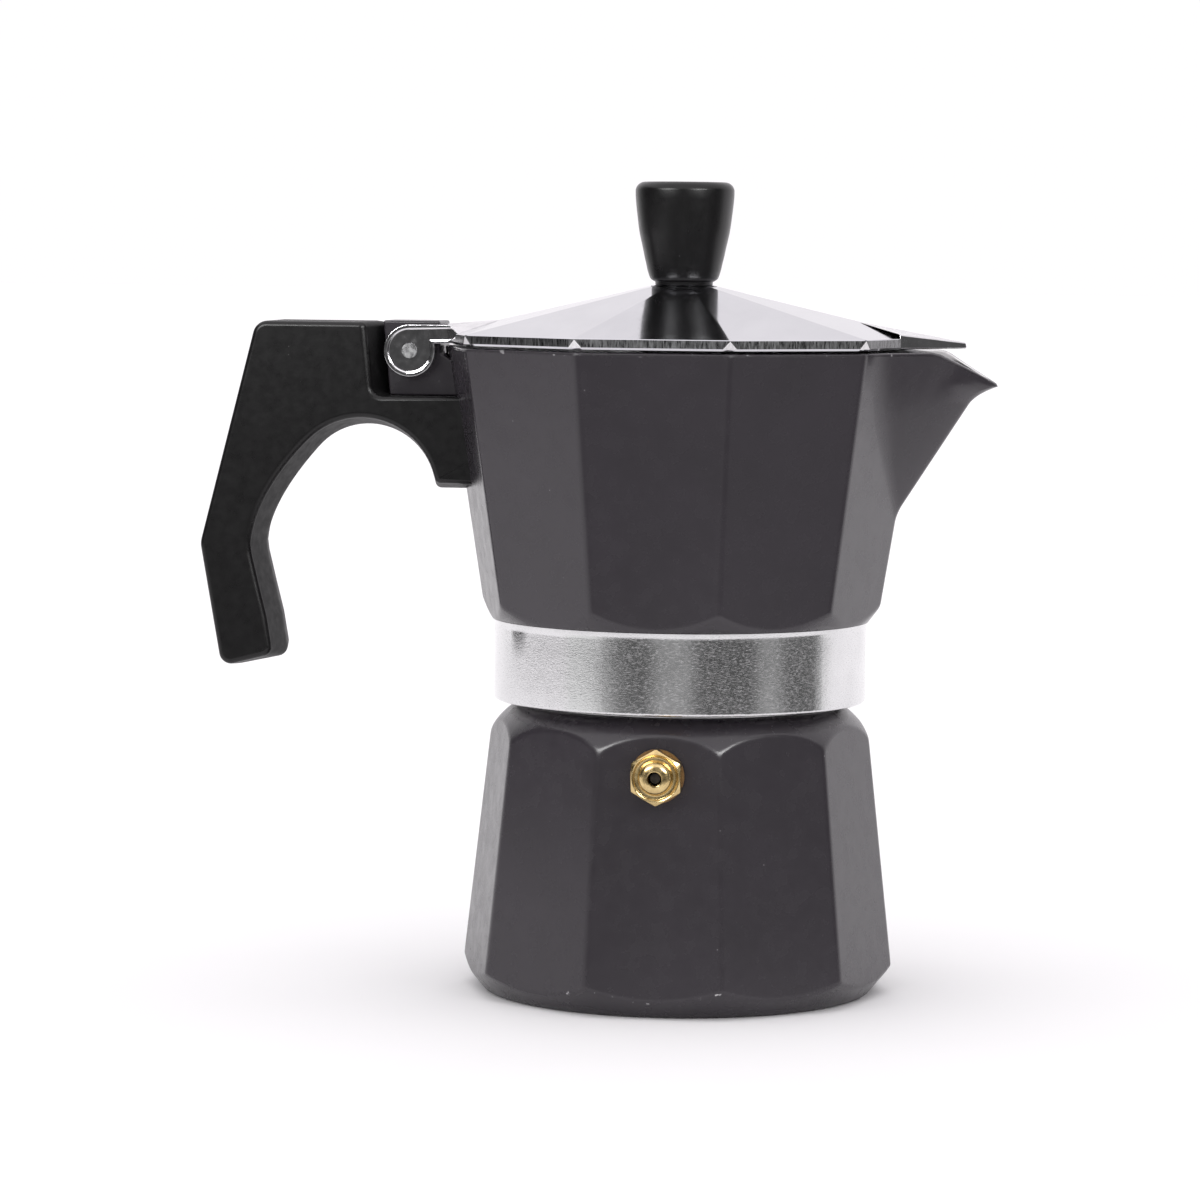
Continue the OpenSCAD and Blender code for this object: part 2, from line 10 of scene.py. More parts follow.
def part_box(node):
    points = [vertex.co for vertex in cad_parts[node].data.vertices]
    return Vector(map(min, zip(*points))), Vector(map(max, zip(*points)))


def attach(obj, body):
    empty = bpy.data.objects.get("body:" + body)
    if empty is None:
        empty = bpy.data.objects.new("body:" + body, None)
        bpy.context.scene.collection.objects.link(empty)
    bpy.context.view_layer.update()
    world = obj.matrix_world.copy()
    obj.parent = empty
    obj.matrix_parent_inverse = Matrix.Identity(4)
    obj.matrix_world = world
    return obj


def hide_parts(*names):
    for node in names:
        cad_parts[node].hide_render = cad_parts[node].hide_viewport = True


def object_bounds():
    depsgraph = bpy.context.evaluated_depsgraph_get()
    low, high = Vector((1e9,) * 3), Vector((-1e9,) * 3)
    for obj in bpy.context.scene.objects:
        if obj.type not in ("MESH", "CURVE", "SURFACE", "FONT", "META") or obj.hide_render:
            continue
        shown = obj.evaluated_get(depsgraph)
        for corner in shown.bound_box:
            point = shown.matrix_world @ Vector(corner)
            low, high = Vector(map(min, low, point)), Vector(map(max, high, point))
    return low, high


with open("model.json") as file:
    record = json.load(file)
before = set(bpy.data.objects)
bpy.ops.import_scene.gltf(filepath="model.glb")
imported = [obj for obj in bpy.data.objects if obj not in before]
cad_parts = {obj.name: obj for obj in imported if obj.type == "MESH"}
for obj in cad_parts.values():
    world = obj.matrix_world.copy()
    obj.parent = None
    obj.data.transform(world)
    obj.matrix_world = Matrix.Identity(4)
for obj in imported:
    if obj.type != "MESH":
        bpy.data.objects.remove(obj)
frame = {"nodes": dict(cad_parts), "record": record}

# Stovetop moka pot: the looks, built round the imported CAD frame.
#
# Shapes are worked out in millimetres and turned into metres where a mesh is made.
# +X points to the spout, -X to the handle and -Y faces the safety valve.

CAD_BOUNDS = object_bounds()
MM = 0.001


def corners(node):
    """Lowest and highest corner of a CAD node, in millimetres."""
    low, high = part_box(node)
    return np.array(low) / MM, np.array(high) / MM


# Faceted bodies
FACETS = 10
STEP = 2 * math.pi / FACETS
HALF = STEP / 2
APOTHEM = math.cos(HALF)
EDGE_FILLET = 2.6

# Boiler
TIGHT_TURN = math.radians(1.2)
BOILER_LOW_R = 43.66
BOILER_SLOPE = -0.1112
BASE_R = 38.6
FOOT_R = 43.6
FOOT_H = 6.0
DOME_CENTRE = (25.0, 44.5)
DOME_R = 14.3
NECK_R = 32.0
NECK_TOP = 66.0
NECK_BORE_R = 29.4
DOME_TOP_Z = DOME_CENTRE[1] + math.sqrt(DOME_R ** 2 - (NECK_R - DOME_CENTRE[0]) ** 2)

# Thread
PITCH = 3.0
RIDGE_H = 1.05
THREAD_Z = 59.0
COLLAR_BORE_R = NECK_R + RIDGE_H + 0.35

# Collector
COLLAR_LOW_Z = corners("collector")[0][2]
COLLAR_R = 36.96
SEAM_Z = 73.8
VESSEL_LOW_R = 39.47
VESSEL_SLOPE = 0.16
RIM_Z = 127.1
VESSEL_WALL = 2.6
FLOOR_Z = 76.6
CORNER_LOW_Z = 73.1
CORNER_SLOPE = 0.76
PAINT_T = 0.7

# Spout
TIP_X = corners("collector")[1][0]
TIP_Z = 120.74
KEEL_LOW = (42.98, 95.7)
KEEL_HIGH = (56.57, 117.0)
KEEL_BEND = (58.0, 119.24)
SPOUT_HALF_ANGLE = math.radians(49.4)
LIP_EDGE_X = 51.2
LIP_SLOPE = (RIM_Z - TIP_Z) / (TIP_X - LIP_EDGE_X)
SPOUT_WALL = 2.2
SPOUT_END = math.radians(34.0)
SPOUT_FADE = 70.0

# Lid and hinge
LID_LOW_Z = 127.9
LID_R = 48.2
LID_RIM_H = 2.15
LID_TOP_Z = 139.7
LID_SEAT_R = 6.6
LID_WALL = 1.5
PIN_LOW, PIN_HIGH = corners("hinge_pin")
HINGE_X = (PIN_LOW[0] + PIN_HIGH[0]) / 2
HINGE_Z = (PIN_LOW[2] + PIN_HIGH[2]) / 2
EAR_R = 5.15
EAR_LOW_Y = 5.8
EAR_T = 2.2

# Handle
HANDLE_HIGH = corners("handle")[1]
HANDLE_HALF = HANDLE_HIGH[1]
SHELF_Z = 117.4

# Valve
VALVE_LOW, VALVE_HIGH = corners("valve_body")
VALVE_Z = (VALVE_LOW[2] + VALVE_HIGH[2]) / 2
VALVE_BACK = corners("valve_seal")[0][1]

# Camera: its direction, then its distances in millimetres
CAMERA_AZIMUTH = math.radians(8.452)
CAMERA_ELEVATION = math.radians(4.563)
CAMERA_ROLL = math.radians(0.572)
CAMERA_DISTANCE = 900.0
CAMERA_LENS = 135.66
CAMERA_SENSOR = 36.0
CAMERA_SIDE = -16.01
CAMERA_HEIGHT = 77.197

# Studio, in metres. A card's level goes by degrees round from the camera's direction
LOW_CARD = [(-72, 1.0), (-60, 1.0), (-50, 0.8), (-43, 0.42), (-36, 0.2), (-20, 0.14), (-15, 0.36),
            (4, 0.36), (9, 0.13), (43, 0.13), (47, 0.36), (60, 0.36), (64, 0.15), (88, 0.15), (92, 0.6),
            (96, 1.0)]
HIGH_CARD = [(-140, 1.0), (-122, 0.3), (-108, 0.05), (-50, 0.04), (-18, 0.08), (-13, 0.26), (5, 0.24),
             (10, 0.08), (44, 0.08), (50, 0.2), (60, 0.2), (64, 0.08), (94, 0.1), (102, 1.0)]
CARD_R = 0.45
CARD_LOW_Z = 0.002
CARD_SPLIT_Z = 0.042
CARD_HIGH_Z = 0.42
OVERHEAD_POWER = 0.6
SOFTBOX_ANGLES = (-42.0, 32.0)
SOFTBOX_POWER = 1.4
SOFTBOX_SIZE = (0.25, 0.13)
SOFTBOX_R = 0.42
SOFTBOX_Z = 0.28


# ---- shape helpers

def soft_min(a, b, k):
    """The lower of a and b, rounded where they are within k of each other."""
    blend = np.maximum(k - np.abs(a - b), 0) / k
    return np.minimum(a, b) - blend * blend * k / 4


def soft_max(a, b, k):
    return -soft_min(-a, -b, k)


def smooth_step(low, high, x):
    t = np.clip((x - low) / (high - low), 0, 1)
    return t * t * (3 - 2 * t)


def polygon_r(phi, apothem, fillet):
    """Radius, at angle phi, of a regular polygon with rounded corners, one of them at angle 0."""
    from_corner = np.abs((phi + HALF) % STEP - HALF)
    flat = apothem / np.cos(HALF - from_corner)
    centre = (apothem - fillet) / APOTHEM
    inside = np.maximum(fillet ** 2 - (centre * np.sin(from_corner)) ** 2, 0)
    rounded = centre * np.cos(from_corner) + np.sqrt(inside)
    tangent = HALF - np.arctan((apothem - fillet) * math.tan(HALF) / apothem)
    return np.where(from_corner < tangent, rounded, flat)


def column_angles():
    """Angles of the columns round a faceted piece: close together at its corners."""
    near = [0.0, 0.45, 0.9, 1.35]
    across = list(np.linspace(2.0, 34.0, 15))
    one_facet = near + across + [36 - a for a in reversed(near[1:])]
    return np.radians([36 * k + a for k in range(FACETS) for a in one_facet])


def crossing(difference, low, high):
    """Height at which difference changes sign between low and high, for every column at once."""
    low = np.array(low, float)
    high = np.array(high, float)
    first = np.sign(difference(low))
    for _ in range(32):
        middle = (low + high) / 2
        same = np.sign(difference(middle)) == first
        low = np.where(same, middle, low)
        high = np.where(same, high, middle)
    return (low + high) / 2


def stations(knots, counts):
    """Rows of heights: each span between two knots is cut into that many steps."""
    rows = [knots[0]]
    for low, high, count in zip(knots, knots[1:], counts):
        rows += [low + (high - low) * i / count for i in range(1, count + 1)]
    return rows


def new_object(name, mesh, materials):
    for material in materials:
        mesh.materials.append(material)
    piece = bpy.data.objects.new(name, mesh)
    bpy.context.scene.collection.objects.link(piece)
    return piece


def clean_mesh(mesh):
    """Joins doubled points, drops flat slivers and turns every face outward."""
    merge = 0.002 * MM
    work = bmesh.new()
    work.from_mesh(mesh)
    bmesh.ops.remove_doubles(work, verts=work.verts, dist=merge)
    bmesh.ops.dissolve_degenerate(work, edges=work.edges, dist=merge / 4)
    bmesh.ops.recalc_face_normals(work, faces=work.faces)
    for face in work.faces:
        face.smooth = True
    work.to_mesh(mesh)
    work.free()


def weighted_normals(piece, sharp_angle=None):
    """Keeps large flat faces flat beside their rounded edges."""
    if sharp_angle is not None:
        piece.data.set_sharp_from_angle(angle=math.radians(sharp_angle))
    modifier = piece.modifiers.new("weighted normals", "WEIGHTED_NORMAL")
    modifier.mode = "FACE_AREA"
    modifier.weight = 90
    modifier.keep_sharp = sharp_angle is not None


def mesh_piece(name, points, faces, materials, bands=None, wear=None, sharp_angle=None):
    """A piece from points in millimetres. bands holds a material number for each face."""
    mesh = bpy.data.meshes.new(name)
    mesh.from_pydata((np.array(points, float) * MM).tolist(), [], faces)
    if bands is not None:
        mesh.polygons.foreach_set("material_index", np.array(bands, np.int32))
    if wear is not None:
        attribute = mesh.attributes.new("wear", "FLOAT", "POINT")
        attribute.data.foreach_set("value", np.array(wear, np.float32))
    clean_mesh(mesh)
    piece = new_object(name, mesh, materials)
    weighted_normals(piece, sharp_angle)
    return piece


def ring_grid(phi, rows, turn=0.0, closed=True):
    """Points and faces of a solid from rows of (radius, height), one value for each column."""
    columns = len(phi)
    x = np.cos(phi + turn)
    y = np.sin(phi + turn)
    points = np.concatenate([np.stack([r * x, r * y, z + 0 * phi], 1) for r, z in rows])
    faces = []
    count = len(rows)
    for i in range(count if closed else count - 1):
        low = i * columns
        high = (i + 1) % count * columns
        for j in range(columns):
            k = (j + 1) % columns
            faces.append((low + j, low + k, high + k, high + j))
    return points, faces


def ring_piece(name, phi, rows, materials, turn=0.0, closed=True, row_bands=None, wear=None,
               sharp_angle=None):
    """row_bands holds a material number for each step between rows."""
    points, faces = ring_grid(phi, rows, turn, closed)
    bands = None if row_bands is None else np.repeat(row_bands, len(phi))
    return mesh_piece(name, points, faces, materials, bands, wear, sharp_angle)


def painted_skin(name, phi, heights, surface, edge_z, reach, paint, turn=0.0):
    """Skin of paint over a surface. Its wear is 1 at the height edge_z and 0 further than reach from it."""
    rows = [(surface(phi, z), z) for z in heights]
    rows += [(surface(phi, z) - PAINT_T, z) for z in reversed(heights)]
    wear = np.zeros((len(rows), len(phi)))
    for number, z in enumerate(heights):
        wear[number] = np.clip(1 - np.abs(z - edge_z) / reach, 0, 1)
    return ring_piece(name, phi, rows, [paint], turn, wear=wear.ravel())


def grid_faces(columns, rows):
    """Faces of an open grid whose points lie row by row."""
    return [(columns * j + i, columns * j + i + 1, columns * (j + 1) + i + 1, columns * (j + 1) + i)
            for j in range(rows - 1) for i in range(columns - 1)]


def place(piece, body, node):
    """Hangs the piece on the body that it rides on and hides the CAD node that it stands for."""
    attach(piece, body)
    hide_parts(node)


def arc(centre, r, start, end, steps):
    """Points of an arc, angles in degrees."""
    angles = [math.radians(start + (end - start) * i / steps) for i in range(steps + 1)]
    return [(centre[0] + r * math.cos(a), centre[1] + r * math.sin(a)) for a in angles]


def curve(p, q, r, steps):
    """Points of a quadratic curve from p to r, pulled towards q."""
    spots = [i / steps for i in range(steps + 1)]
    weights = [((1 - t) ** 2, 2 * t * (1 - t), t * t) for t in spots]
    return [(a * p[0] + b * q[0] + c * r[0], a * p[1] + b * q[1] + c * r[1]) for a, b, c in weights]


def rounded(before, corner, after, r, steps=6):
    """Points that round a corner of an outline with radius r."""
    before, corner, after = (np.array(p, float) for p in (before, corner, after))
    u = (before - corner) / np.linalg.norm(before - corner)
    v = (after - corner) / np.linalg.norm(after - corner)
    half = math.acos(float(u @ v)) / 2
    centre = corner + (u + v) / np.linalg.norm(u + v) * r / math.sin(half)
    start = corner + u * r / math.tan(half) - centre
    end = corner + v * r / math.tan(half) - centre
    first = math.degrees(math.atan2(start[1], start[0]))
    turn = (math.degrees(math.atan2(end[1], end[0])) - first + 180) % 360 - 180
    return arc(centre, r, first, first + turn, steps)


# ---- boiler

def boiler_r(z):
    return BOILER_LOW_R + BOILER_SLOPE * z


def boiler_facet(phi, z):
    return polygon_r(phi, boiler_r(z) * APOTHEM, EDGE_FILLET)


def boiler_foot(z):
    return BASE_R + (FOOT_R - BASE_R) * z / FOOT_H


def boiler_dome(z):
    above = np.maximum(z - DOME_CENTRE[1], 0)
    below = np.maximum(DOME_CENTRE[1] - z, 0)
    return DOME_CENTRE[0] + np.sqrt(np.maximum(DOME_R ** 2 - above ** 2, 0)) + below


def boiler_outside(phi, z):
    lower = soft_min(boiler_foot(z), boiler_facet(phi, z), 0.5)
    return soft_min(lower, boiler_dome(z), 0.35)


def boiler_shell(paint):
    """Painted skin of the boiler: foot, facets and the turned shoulder that scallops them."""
    phi = column_angles()
    level = np.zeros(len(phi))
    foot_z = crossing(lambda z: boiler_foot(z) - boiler_facet(phi, z), level, level + 12)
    dome_z = crossing(lambda z: boiler_dome(z) - boiler_facet(phi, z), level + 45, level + DOME_TOP_Z)
    knots = [level, foot_z - 1.0, foot_z, foot_z + 1.0, dome_z - 2.2, dome_z - 0.8, dome_z,
             dome_z + 0.8, level + DOME_TOP_Z]
    heights = stations(knots, [2, 3, 3, 12, 3, 4, 4, 6])
    return painted_skin("boiler_shell", phi, heights, boiler_outside, foot_z, 0.35, paint, TIGHT_TURN)


def thread_height(phi, z, first_angle, turns):
    """Height of a right-hand thread ridge above its core at angle phi and height z."""
    height = np.zeros_like(phi)
    for lap in range(-1, 4):
        along = (phi - first_angle) / (2 * math.pi) + lap
        away = np.abs(z - THREAD_Z - PITCH * along)
        ends = smooth_step(0, 0.04, along) * smooth_step(0, 0.04, turns - along)
        height = np.maximum(height, RIDGE_H * np.clip((0.8 - away) / 0.45, 0, 1) * ends)
    return height


def boiler_casting(bare):
    """Base, inner walls, neck and outside thread in bare aluminium."""
    phi = np.linspace(0, 2 * math.pi, 180, endpoint=False)
    inner_low_r = 37.9
    inner_high_r = 33.5
    rows = [(r, 0.0) for r in (0.0, 12.0, 24.0, 34.0, 37.88)]
    rows += [(39.6, 6.0), (35.3, 50.0), (NECK_R - PAINT_T, DOME_TOP_Z - 0.1)]
    rows += [(NECK_R - 0.1, DOME_TOP_Z + 0.02)]
    for z in np.arange(DOME_TOP_Z + 0.15, NECK_TOP - 0.5, 0.15):
        rows.append((NECK_R + thread_height(phi, z, 0.0, 2), z))
    rows += [(NECK_R, NECK_TOP - 0.45)]
    rows += arc((NECK_R - 0.4, NECK_TOP - 0.4), 0.4, 0, 90, 4)
    rows += arc((NECK_BORE_R + 0.3, NECK_TOP - 0.3), 0.3, 90, 180, 3)
    rows += [(NECK_BORE_R, 61.0), (NECK_BORE_R, 56.0)]
    rows += arc((inner_high_r - 6, 47.0), 6.0, 70, 0, 8)
    rows += arc((inner_low_r - 4, 7.2), 4.0, 0, -90, 8)
    rows += [(24.0, 3.2), (12.0, 3.2), (0.0, 3.2)]
    return ring_piece("boiler_casting", phi, rows, [bare], TIGHT_TURN, closed=False, sharp_angle=50)


# ---- valve

def valve_body_piece(brass):
    """Hexagon with a turned chamfer, a cove and the rounded nozzle round its bore."""
    theta = np.radians([60 * k + a for k in range(6) for a in (0, 2, 5, 10, 20, 30, 40, 50, 55, 58)])
    flats = 4.75
    from_vertex = np.abs((theta + math.pi / 6) % (math.pi / 3) - math.pi / 6)
    hexagon = np.minimum(flats / np.cos(math.pi / 6 - from_vertex), 5.42)
    back = VALVE_BACK
    tip = VALVE_LOW[1]
    face = tip + 1.8
    slant = (hexagon - 4.6) * 0.55
    rows = [(3.85, back + 6.0), (3.85, back + 0.01), (hexagon - 0.12, back), (hexagon, back - 0.12)]
    rows += [(hexagon, face + 0.05 + slant), (hexagon - 0.06, face + slant)]
    cove = [(4.62, 0.0), (4.48, 0.03), (4.3, 0.16), (4.05, 0.3), (3.75, 0.37), (3.45, 0.32), (3.26, 0.12),
            (3.16, -0.25), (3.08, -0.7)]
    nozzle = [(2.98, 0.74), (2.8, 0.48), (2.5, 0.27), (2.15, 0.14), (1.8, 0.06), (1.55, 0.0), (1.4, 0.05),
              (1.29, 0.22)]
    rows += [(r, face + y) for r, y in cove]
    rows += [(r, tip + y) for r, y in nozzle]
    rows += [(1.25, back + 0.2), (2.68, back + 0.4), (2.68, back + 6.0)]
    points, faces = ring_grid(theta + math.pi / 2, rows)
    turn = np.array(Matrix.Rotation(TIGHT_TURN, 3, "Z"))
    placed = points[:, [0, 2, 1]] @ turn.T + [0, 0, VALVE_Z]
    return mesh_piece("valve_hexagon", placed, faces, [brass], sharp_angle=32)


# ---- collector

def vessel_r(z):
    return VESSEL_LOW_R + VESSEL_SLOPE * (z - SEAM_Z)


def keel_x(z):
    """Reach of the straight keel, without the flare at the tip."""
    slope = (KEEL_HIGH[0] - KEEL_LOW[0]) / (KEEL_HIGH[1] - KEEL_LOW[1])
    return KEEL_LOW[0] + slope * (z - KEEL_LOW[1])


def keel_flare(z):
    """How much further than the straight keel the flared one reaches."""
    a = KEEL_HIGH[1] - 2 * KEEL_BEND[1] + TIP_Z
    b = 2 * (KEEL_BEND[1] - KEEL_HIGH[1])
    lift = np.clip(z, KEEL_HIGH[1], TIP_Z) - KEEL_HIGH[1]
    t = (-b + np.sqrt(b * b + 4 * a * lift)) / (2 * a)
    x = (1 - t) ** 2 * KEEL_HIGH[0] + 2 * t * (1 - t) * KEEL_BEND[0] + t * t * TIP_X
    reach = x - keel_x(np.clip(z, KEEL_HIGH[1], TIP_Z))
    return reach * (1 - smooth_step(TIP_Z, RIM_Z, z))


def spout_r(phi, z, inset):
    """Radius of the spout's wedge, its sides moved in by inset. It sinks into the facets past SPOUT_END."""
    away = np.abs((phi + math.pi) % (2 * math.pi) - math.pi)
    half_angle = SPOUT_HALF_ANGLE - math.radians(1.9) * smooth_step(115.0, RIM_Z, z)
    near = 1 - smooth_step(math.radians(0.5), math.radians(8.0), away)
    reach = keel_x(z) + keel_flare(z) * near - inset / np.sin(half_angle)
    softness = 0.014
    turned = np.sqrt(away ** 2 + softness ** 2) - softness
    wedge = reach * np.sin(half_angle) / np.sin(np.minimum(half_angle + turned, 2.6))
    return wedge - SPOUT_FADE * np.maximum(away - SPOUT_END, 0)


def vessel_corner(z):
    """Radius of the turned lower corner between the collar and the facets."""
    return COLLAR_R + soft_max(0.0 * z, CORNER_SLOPE * (z - CORNER_LOW_Z), 0.5)


def vessel_facet(phi, z):
    return polygon_r(phi, vessel_r(z) * APOTHEM, EDGE_FILLET)


def spout_blend(z):
    """Width of the soft valley between the spout and the facets, wider towards the rim."""
    return 0.9 + 1.7 * smooth_step(98.0, RIM_Z, z)


def vessel_outside(phi, z):
    body = soft_min(vessel_facet(phi, z), vessel_corner(z), 0.5)
    return soft_max(body, spout_r(phi, z, 0), spout_blend(z))


def inner_facet(phi, z):
    return polygon_r(phi, vessel_r(z) * APOTHEM - VESSEL_WALL, 3.4)


def vessel_inside(phi, z):
    return soft_max(inner_facet(phi, z), spout_r(phi, z, SPOUT_WALL), 3.0)


def lip_z(x):
    """Height of the rim over the point x: level, then down a slope to the tip."""
    return RIM_Z - soft_max(0 * x, LIP_SLOPE * (x - LIP_EDGE_X), 0.8)


def rim_height(phi, surface):
    """Height at which a wall meets the rim, for every column."""
    low = np.full(len(phi), 110.0)
    high = np.full(len(phi), RIM_Z + 0.01)
    return crossing(lambda z: z - 1e-6 - lip_z(surface(phi, z) * np.cos(phi)), low, high)


def lip_drop(phi):
    """How far under the rim the lip's lower edge is: least at the spout's tip, which stays sharp."""
    away = np.abs((phi + math.pi) % (2 * math.pi) - math.pi)
    return 0.17 - 0.12 * (1 - smooth_step(math.radians(0.5), math.radians(8.0), away))


def crease_height(phi, facet, inset, rim, low):
    """Heights of the crease between the spout and a facet wall, kept clear of both ends."""
    level = np.zeros(len(phi))
    crease = crossing(lambda z: spout_r(phi, z, inset) - facet(phi, z), level + 88, rim)
    return np.clip(crease, low + 8, rim - 4)


def collector_shell(paint):
    """Painted skin of the vessel with its spout."""
    phi = column_angles()
    level = np.zeros(len(phi))
    rim = rim_height(phi, vessel_outside)
    corner = crossing(lambda z: vessel_corner(z) - vessel_facet(phi, z), level + CORNER_LOW_Z, level + 80)
    corner = np.maximum(corner, SEAM_Z + 0.7)
    crease = crease_height(phi, vessel_facet, 0, rim, corner)
    flare = np.maximum(KEEL_HIGH[1] - 0.2, crease + 2.5)
    top = rim - lip_drop(phi)
    knots = [level + SEAM_Z, corner - 0.5, corner, corner + 0.9, crease - 3, crease, crease + 2, flare,
             top - 0.3, top]
    heights = stations(knots, [2, 3, 4, 12, 5, 4, 8, 12, 3])
    return painted_skin("collector_shell", phi, heights, vessel_outside, top, 0.3, paint)


def collector_casting(bare, turned, paint):
    """Bare aluminium collar, vessel inside, underside and inside thread, with the painted lip."""
    phi = column_angles()
    level = np.zeros(len(phi))
    rim = rim_height(phi, vessel_outside)
    inner_rim = rim_height(phi, vessel_inside)
    crease = crease_height(phi, inner_facet, SPOUT_WALL, inner_rim, level + FLOOR_Z)
    low = COLLAR_LOW_Z

    collar = [(COLLAR_R - 0.55, low), (COLLAR_R - 0.3, low + 0.06), (COLLAR_R - 0.08, low + 0.28)]
    collar += [(COLLAR_R, low + 0.62), (COLLAR_R, low + 4), (COLLAR_R, low + 8), (COLLAR_R, low + 12)]
    collar += [(vessel_outside(phi, level + z), z) for z in (72.2, 72.8, 73.3, SEAM_Z - 0.06)]
    collar += [(vessel_outside(phi, level + SEAM_Z) - 0.3, SEAM_Z)]
    hidden = []
    for part in (0.02, 0.1, 0.25, 0.4, 0.55, 0.7, 0.8, 0.9, 0.96):
        z = SEAM_Z + (rim - SEAM_Z) * part
        hidden.append((vessel_outside(phi, z) - PAINT_T - 0.15, z))
    drop = lip_drop(phi)
    outer = vessel_outside(phi, rim - drop) - 0.03
    inner = vessel_inside(phi, inner_rim)
    lip = [(vessel_outside(phi, rim - 0.7) - 0.5, rim - 0.7), (outer, rim - drop)]
    for share, lift in ((0.0, 0.0), (0.04, 0.2), (0.12, 0.34), (0.25, 0.38), (0.5, 0.38), (0.75, 0.38),
                        (0.88, 0.32), (0.96, 0.18), (1.0, 0.0)):
        r = outer + (inner - outer) * share
        lip.append((r, lip_z(r * np.cos(phi)) + lift))
    fillet = 3.0
    knots = [inner_rim - 0.25, inner_rim - 1.2, crease + 2, crease, crease - 3, level + FLOOR_Z + fillet]
    walls = [(vessel_inside(phi, z), z) for z in stations(knots, [1, 14, 3, 4, 12])]
    foot = vessel_inside(phi, level + FLOOR_Z + fillet)
    floor = arc((foot - fillet, FLOOR_Z + fillet), fillet, 0, -90, 5)[1:]
    hole_r = 5.0
    for share in (0.25, 0.5, 0.75, 1.0):
        floor.append(((foot - fillet) * (1 - share) + (hole_r + 0.3) * share, FLOOR_Z))
    under = [(hole_r, FLOOR_Z - 0.3), (hole_r, 73.2), (7.0, 73.2), (15.0, 71.7), (24.2, 69.95)]
    under += [(32.6, 69.95), (32.6, 66.6), (COLLAR_BORE_R, 66.2)]
    for z in np.arange(65.9, 58.2, -0.15):
        under.append((COLLAR_BORE_R - thread_height(phi, z, math.pi, 1.75), z))
    under += [(COLLAR_BORE_R, 58.1), (COLLAR_BORE_R + 0.3, low), ((COLLAR_BORE_R + COLLAR_R) / 2, low)]

    rows = collar + hidden + lip + walls + floor + under
    turned_steps = len(collar) - 1
    lip_start = len(collar) + len(hidden)
    lip_steps = len(lip) - 4
    bands = [1] * turned_steps + [0] * (len(rows) - turned_steps)
    bands[lip_start:lip_start + lip_steps] = [2] * lip_steps
    wear = np.zeros((len(rows), len(phi)))
    wear[lip_start + 2] = 0.8
    wear[lip_start + 3] = 0.5
    return ring_piece("collector_casting", phi, rows, [bare, turned, paint], row_bands=bands,
                      wear=wear.ravel(), sharp_angle=60)


def extruded(name, outline, half, materials, bevel, centre_y=0.0, border=0.0):
    """A plate of that outline in the XZ plane, half each side of centre_y, with rounded edges.

    With a border, each face sinks a little inside a raised edge of that width.
    """
    work = bmesh.new()
    near = [work.verts.new((x * MM, (centre_y - half) * MM, z * MM)) for x, z in outline]
    far = [work.verts.new((x * MM, (centre_y + half) * MM, z * MM)) for x, z in outline]
    sides = [work.faces.new(near), work.faces.new(list(reversed(far)))]
    for i in range(len(outline)):
        k = (i + 1) % len(outline)
        work.faces.new((near[i], far[i], far[k], near[k]))
    bmesh.ops.recalc_face_normals(work, faces=work.faces)
    if border:
        for side in sides:
            bmesh.ops.inset_region(work, faces=[side], thickness=border * MM)
            bmesh.ops.inset_region(work, faces=[side], thickness=0.25 * MM, depth=-0.2 * MM)
    return finish_block(name, work, materials, bevel, 3)


def finish_block(name, work, materials, bevel, segments):
    """Turns a bmesh block into a piece with bevelled edges and flat faces kept flat."""
    bmesh.ops.recalc_face_normals(work, faces=work.faces)
    for face in work.faces:
        face.smooth = True
    mesh = bpy.data.meshes.new(name)
    work.to_mesh(mesh)
    work.free()
    piece = new_object(name, mesh, materials)
    modifier = piece.modifiers.new("rounded edges", "BEVEL")
    modifier.width = bevel * MM
    modifier.segments = segments
    modifier.limit_method = "ANGLE"
    modifier.angle_limit = math.radians(28)
    weighted_normals(piece)
    return piece


def collector_lug(paint):
    """Tongue behind the rim that carries the hinge pin."""
    top = corners("collector")[1][2]
    outline = [(-44.2, SHELF_Z + 0.02), (-58.1, SHELF_Z + 0.02), (-59.5, top), (-48.0, top),
               (-48.0, RIM_Z - 1), (-45.5, 124.5)]
    return extruded("collector_lug", outline, 5.45, [paint], 0.45)


# ---- lid

def lid_polygon(phi):
    """Radius of the lid's outline where its corner radius is 1."""
    return polygon_r(phi, APOTHEM, 0.02)


def behind_hinge(phi, radius, cut_x):
    """Cuts the lid's rear corner off level with the hinge ears."""
    away = np.abs((phi + 2 * math.pi) % (2 * math.pi) - math.pi)
    limit = np.where(away < 0.5, -cut_x / np.cos(np.minimum(away, 0.5)), 1e3)
    return np.minimum(radius, limit)


def rim_band(phi, z):
    """Radius of the lid's rim: its corners are cut by facets that widen downward."""
    from_corner = np.abs((phi + HALF) % STEP - HALF)
    cut = 0.14 + 0.5 * (LID_LOW_Z + LID_RIM_H - z) / LID_RIM_H
    return np.minimum(lid_polygon(phi) * LID_R, (LID_R - cut) / np.cos(from_corner))


